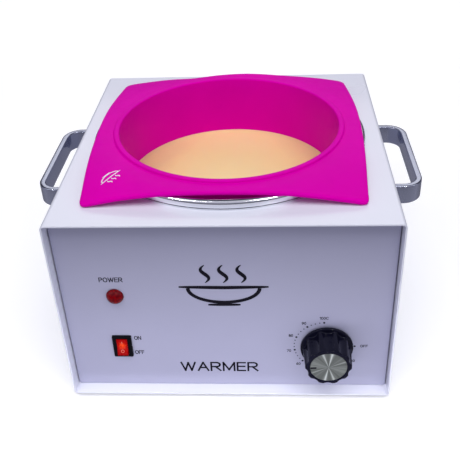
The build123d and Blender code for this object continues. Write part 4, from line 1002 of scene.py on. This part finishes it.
def emblem(name, place, size, thick):
    """A generic sign for a heated bowl: the bowl, its rim, its foot, and three waves of heat."""
    bowl = curve_points(0, 12, 24, 12, 180, 360, 30)
    rim = [(x, 12.6 + 0.02 * abs(x)) for x in range(-30, 31, 5)]
    foot = [(x, -2.2) for x in range(-11, 12, 2)]
    lines = [(bowl, [2.6] * len(bowl)), (rim, [0.8 + 2.0 * math.sqrt(1 - (x / 31) ** 2) for x, _ in rim]),
             (foot, [0.7 + 1.5 * math.sqrt(1 - (x / 12) ** 2) for x, _ in foot])]
    for middle in (-12, 0, 12):
        wave = [(middle + 2.6 * math.sin(2 * math.pi * i / 16), 16.8 + 0.92 * i) for i in range(17)]
        lines.append((wave, [0.6 + 2.2 * math.sin(math.pi * i / 16) for i in range(17)]))
    parts = []
    for i, (points, widths) in enumerate(lines):
        scaled = [(u * size, v * size) for u, v in points]
        parts.append(stroke(f"{name}_{i}", scaled, [w * size for w in widths], place, thick))
    return joined(name, parts)


def on_body(made, material, body):
    paint(made, material)
    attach(made, body)
    return made


# Each word with its left, right, lower and upper edge on the panel and its strokes' weight, in millimetres.
words = [("POWER", -92.8, -75.0, 106.6, 111.0, 0.62), ("ON", -72.9, -67.3, 49.4, 53.4, 0.58),
         ("OFF", -73.7, -66.3, 34.4, 38.4, 0.58), ("WARMER", -38.8, 22.9, 16.1, 26.1, 1.45)]
word_parts = [letters("word_" + text, text, (u0 * MM, u1 * MM, v0 * MM, v1 * MM), on_panel, INK, weight * MM)
              for text, u0, u1, v0, v1, weight in words]
on_body(joined("panel_words", word_parts), print_black, "root")


def on_panel_emblem(u, v, height):
    return on_panel(u - 1.2 * MM, v + 87.5 * MM, height)


on_body(emblem("panel_emblem", on_panel_emblem, 1.1 * MM, INK), print_black, "root")

# The dial: a dot every 2.5 degrees of heat and a number every ten, then the dot and the word for off.
DIAL_R = 23.1 * MM
NUMBER_R = 27.6 * MM
DIAL_X = KNOB_X - 1.7 * MM
DIAL_Z = KNOB_Z + 0.4 * MM
FIRST_TURN = 92.0
STEP_TURN = 8.3
NUMBERS = ("100C", "90", "80", "70", "60", "50", "40", "30")


def on_dial(radius, degrees):
    """Where on the panel a mark lies, round the dial's centre: across, and up from the case's bottom."""
    turn = math.radians(degrees)
    return DIAL_X + radius * math.cos(turn), DIAL_Z - case_low.z + radius * math.sin(turn)


dial_parts = []
for degrees, large in [(FIRST_TURN + STEP_TURN * i, i % 4 == 0) for i in range(29)] + [(-1.7, True)]:
    dot = arc(on_dial(DIAL_R, degrees), 0.85 * MM if large else 0.48 * MM, 0, 345, 23)
    dial_parts.append(prism("dial_dot", dot, on_panel, INK))
labels = [(FIRST_TURN + 4 * STEP_TURN * i, text, NUMBER_R) for i, text in enumerate(NUMBERS)]
for degrees, text, radius in labels + [(-1.0, "OFF", 30.2 * MM)]:
    u, v = on_dial(radius, degrees)
    box = (u, None, v - 1.3 * MM, v + 1.3 * MM)
    dial_parts.append(letters("dial_label", text, box, on_panel, INK, 0.42 * MM))
on_body(joined("dial_scale", dial_parts), print_black, "root")


# ======== marks on the knob, rocker and liner
def on_cap(u, v, height):
    return to_front(KNOB_X + u, KNOB_Z + v, CAP_FRONT - 0.1 * MM + height)


POINTER_TURN = math.radians(183)
POINTER_HALF = 0.75 * MM
pointer = []
for r, side in ((9.0 * MM, POINTER_HALF), (13.5 * MM, POINTER_HALF),
                (13.5 * MM, -POINTER_HALF), (9.0 * MM, -POINTER_HALF)):
    pointer.append((r * math.cos(POINTER_TURN) - side * math.sin(POINTER_TURN),
                    r * math.sin(POINTER_TURN) + side * math.cos(POINTER_TURN)))
on_body(prism("knob_pointer", pointer, on_cap, 0.16 * MM), print_black, "knob")

switch_low, switch_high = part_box("switch_housing")
SWITCH_X = (switch_low.x + switch_high.x) / 2
SWITCH_Z = next(joint["pos_m"][2] for joint in frame["joints"] if joint["name"] == "rocker_tilt")
TILT = math.radians(7.5)
ROCKER_MID = 2.3 * MM
ROCKER_END = 3.6 * MM
ROCKER_HALF = 8.0 * MM


def on_rocker(middle):
    """Places marks on one half of the rocker's hollow face, round a point so far up from its pivot."""
    slope = math.copysign((ROCKER_END - ROCKER_MID) / ROCKER_HALF, middle)

    def place(u, v, height):
        up = middle + v
        out = ROCKER_MID + abs(up) * abs(slope) + height - 0.03 * MM
        y = PANEL_Y - out * math.cos(TILT) + up * math.sin(TILT)
        z = SWITCH_Z + out * math.sin(TILT) + up * math.cos(TILT)
        return Vector((SWITCH_X + u, y, z))

    return place


MARK_RISE = 0.12 * MM
bar = rounded_rectangle(0.55 * MM, 2.6 * MM, 0.2 * MM, 3)
on_body(prism("rocker_mark_on", bar, on_rocker(4.3 * MM), MARK_RISE), mark_light, "rocker")
zero = ring_mark("rocker_mark_off", 1.35 * MM, 0.95 * MM, on_rocker(-3.6 * MM), MARK_RISE)
on_body(zero, mark_light, "rocker")


def on_liner_corner(u, v, height):
    """The liner's front left corner, turned so that the sign reads from the side."""
    turn = math.radians(-128)
    x = -86 * MM + u * math.cos(turn) - v * math.sin(turn)
    y = -78 * MM + u * math.sin(turn) + v * math.cos(turn)
    return Vector((x, AXIS_Y + y, flange_top(x, y) + height - 0.02 * MM))


on_body(emblem("liner_emblem", on_liner_corner, 0.32 * MM, 0.08 * MM), print_white, "liner")

# ======== floor, light and camera
FLOOR_HALF = 12.0


def build_floor():
    """A pale floor that glows a little, so that it stays white round the object."""
    corners = [(x * FLOOR_HALF, y * FLOOR_HALF, 0) for x, y in ((-1, -1), (1, -1), (1, 1), (-1, 1))]
    made = new_object("studio_floor", corners, [(0, 1, 2, 3)])
    paint(made, plain("studio_floor", (0.90, 0.90, 0.92), 0.6, patch=3.0, vary=0.01, bump=0.02,
                      Emission_Color=(1.0, 1.0, 1.0, 1.0), Emission_Strength=0.20, Specular_IOR_Level=0.1))
    made.visible_glossy = False
    made.visible_diffuse = False
    return made


floor = build_floor()


def build_world():
    """A room of soft bands that only reflections and light see, and white behind it for the camera."""
    world = bpy.data.worlds.new("studio")
    world.use_nodes = True
    sky = world.node_tree
    sky.nodes.clear()
    _, y, z = split_node(sky, sky.nodes.new("ShaderNodeTexCoord").outputs["Generated"])
    # The turn about X, as a share: the ramp's middle is level in front, 0.75 is overhead, 0.25 underfoot.
    turned = math_node(sky, "ARCTAN2", z, times(sky, y, -1.0))
    share = range_node(sky, turned, 0.0, 1.0, -math.pi, math.pi)
    bands = [(0.0, (0.10, 0.10, 0.13)), (0.25, (0.38, 0.38, 0.44)), (0.42, (0.30, 0.30, 0.35)),
             (0.5, (0.10, 0.10, 0.13)), (0.54, (0.22, 0.22, 0.28)), (0.60, (0.46, 0.46, 0.56)),
             (0.73, (0.50, 0.50, 0.60)), (0.77, (0.04, 0.04, 0.06)), (0.86, (0.06, 0.06, 0.08)),
             (1.0, (0.10, 0.10, 0.13))]
    room = sky.nodes.new("ShaderNodeBackground")
    sky.links.new(ramp_node(sky, share, bands), room.inputs["Color"])
    backdrop = sky.nodes.new("ShaderNodeBackground")
    backdrop.inputs["Color"].default_value = (1.0, 1.0, 1.0, 1.0)
    pick = sky.nodes.new("ShaderNodeMixShader")
    sky.links.new(sky.nodes.new("ShaderNodeLightPath").outputs["Is Camera Ray"], pick.inputs["Fac"])
    sky.links.new(room.outputs["Background"], pick.inputs[1])
    sky.links.new(backdrop.outputs["Background"], pick.inputs[2])
    output = sky.nodes.new("ShaderNodeOutputWorld")
    sky.links.new(pick.outputs["Shader"], output.inputs["Surface"])
    return world


bpy.context.scene.world = build_world()


def light_object(name, kind, power, place, target):
    data = bpy.data.lights.new(name, kind)
    data.energy = power
    light = linked(name, data)
    light.location = place
    light.rotation_mode = "QUATERNION"
    light.rotation_quaternion = (Vector(target) - Vector(place)).to_track_quat("-Z", "Y")
    return light


def area_light(name, place, target, size, power, colour=(1.0, 1.0, 1.0)):
    light = light_object(name, "AREA", power, place, target)
    light.data.shape = "RECTANGLE"
    light.data.size, light.data.size_y = size
    light.data.color = colour
    return light


sun = light_object("overhead", "SUN", 1.74, (0.10, -0.78, 2.0), (0, 0, 0))
sun.data.angle = math.radians(50)
sun.visible_glossy = False

OBJECT_MIDDLE = (0.0, 0.0, 0.12)
COOL = (0.95, 1.0, 0.97)
area_light("softbox_back", (0.1, 1.7, 1.4), OBJECT_MIDDLE, (2.2, 0.9), 7.0)
area_light("strip_left", (-1.2, -0.5, 0.8), OBJECT_MIDDLE, (0.25, 1.0), 0.8, COOL)
area_light("strip_right", (1.2, -0.4, 0.8), OBJECT_MIDDLE, (0.25, 1.0), 0.8, COOL)
area_light("lamp_left", (-0.32, -0.55, 1.12), OBJECT_MIDDLE, (0.06, 0.06), 0.45)
area_light("lamp_right", (0.385, -0.667, 1.02), OBJECT_MIDDLE, (0.06, 0.06), 0.35)
# Two small lamps that light no surface and show only as glints.
for name, lamp_place in (("glint_left", (-0.576, -0.549, 0.858)), ("glint_right", (0.411, -0.644, 0.795))):
    glint = area_light(name, lamp_place, (LAMP_X, PANEL_Y, LAMP_Z), (0.08, 0.08), 1.6)
    glint.visible_diffuse = False
# The light that the floor throws up at the foot of the panel.
bounce = area_light("floor_bounce", (0.0, -0.222, 0.034), (0.0, -0.11, 0.028), (0.36, 0.03), 0.20,
                    (0.95, 0.95, 1.0))
bounce.visible_camera = False
bounce.visible_glossy = False

CAMERA_PLACE = (0.035432, -0.518013, 0.440609)
YAW, PITCH, ROLL = (math.radians(v) for v in (-4.0466, 32.1437, -2.6655))


def build_camera():
    ahead = Vector((math.sin(YAW) * math.cos(PITCH), math.cos(YAW) * math.cos(PITCH), -math.sin(PITCH)))
    level = Vector((math.cos(YAW), -math.sin(YAW), 0.0))
    upward = level.cross(ahead)
    across = level * math.cos(ROLL) + upward * math.sin(ROLL)
    upright = upward * math.cos(ROLL) - level * math.sin(ROLL)
    data = bpy.data.cameras.new("camera")
    data.sensor_width = 36.0
    data.lens = 55.985
    data.shift_y = -0.075
    data.clip_start = 0.01
    data.clip_end = 50.0
    made = linked("camera", data)
    turn = Matrix((across, upright, -ahead)).transposed().to_4x4()
    made.matrix_world = Matrix.Translation(CAMERA_PLACE) @ turn
    return made


bpy.context.scene.camera = build_camera()
bpy.context.scene.view_settings.view_transform = "Standard"
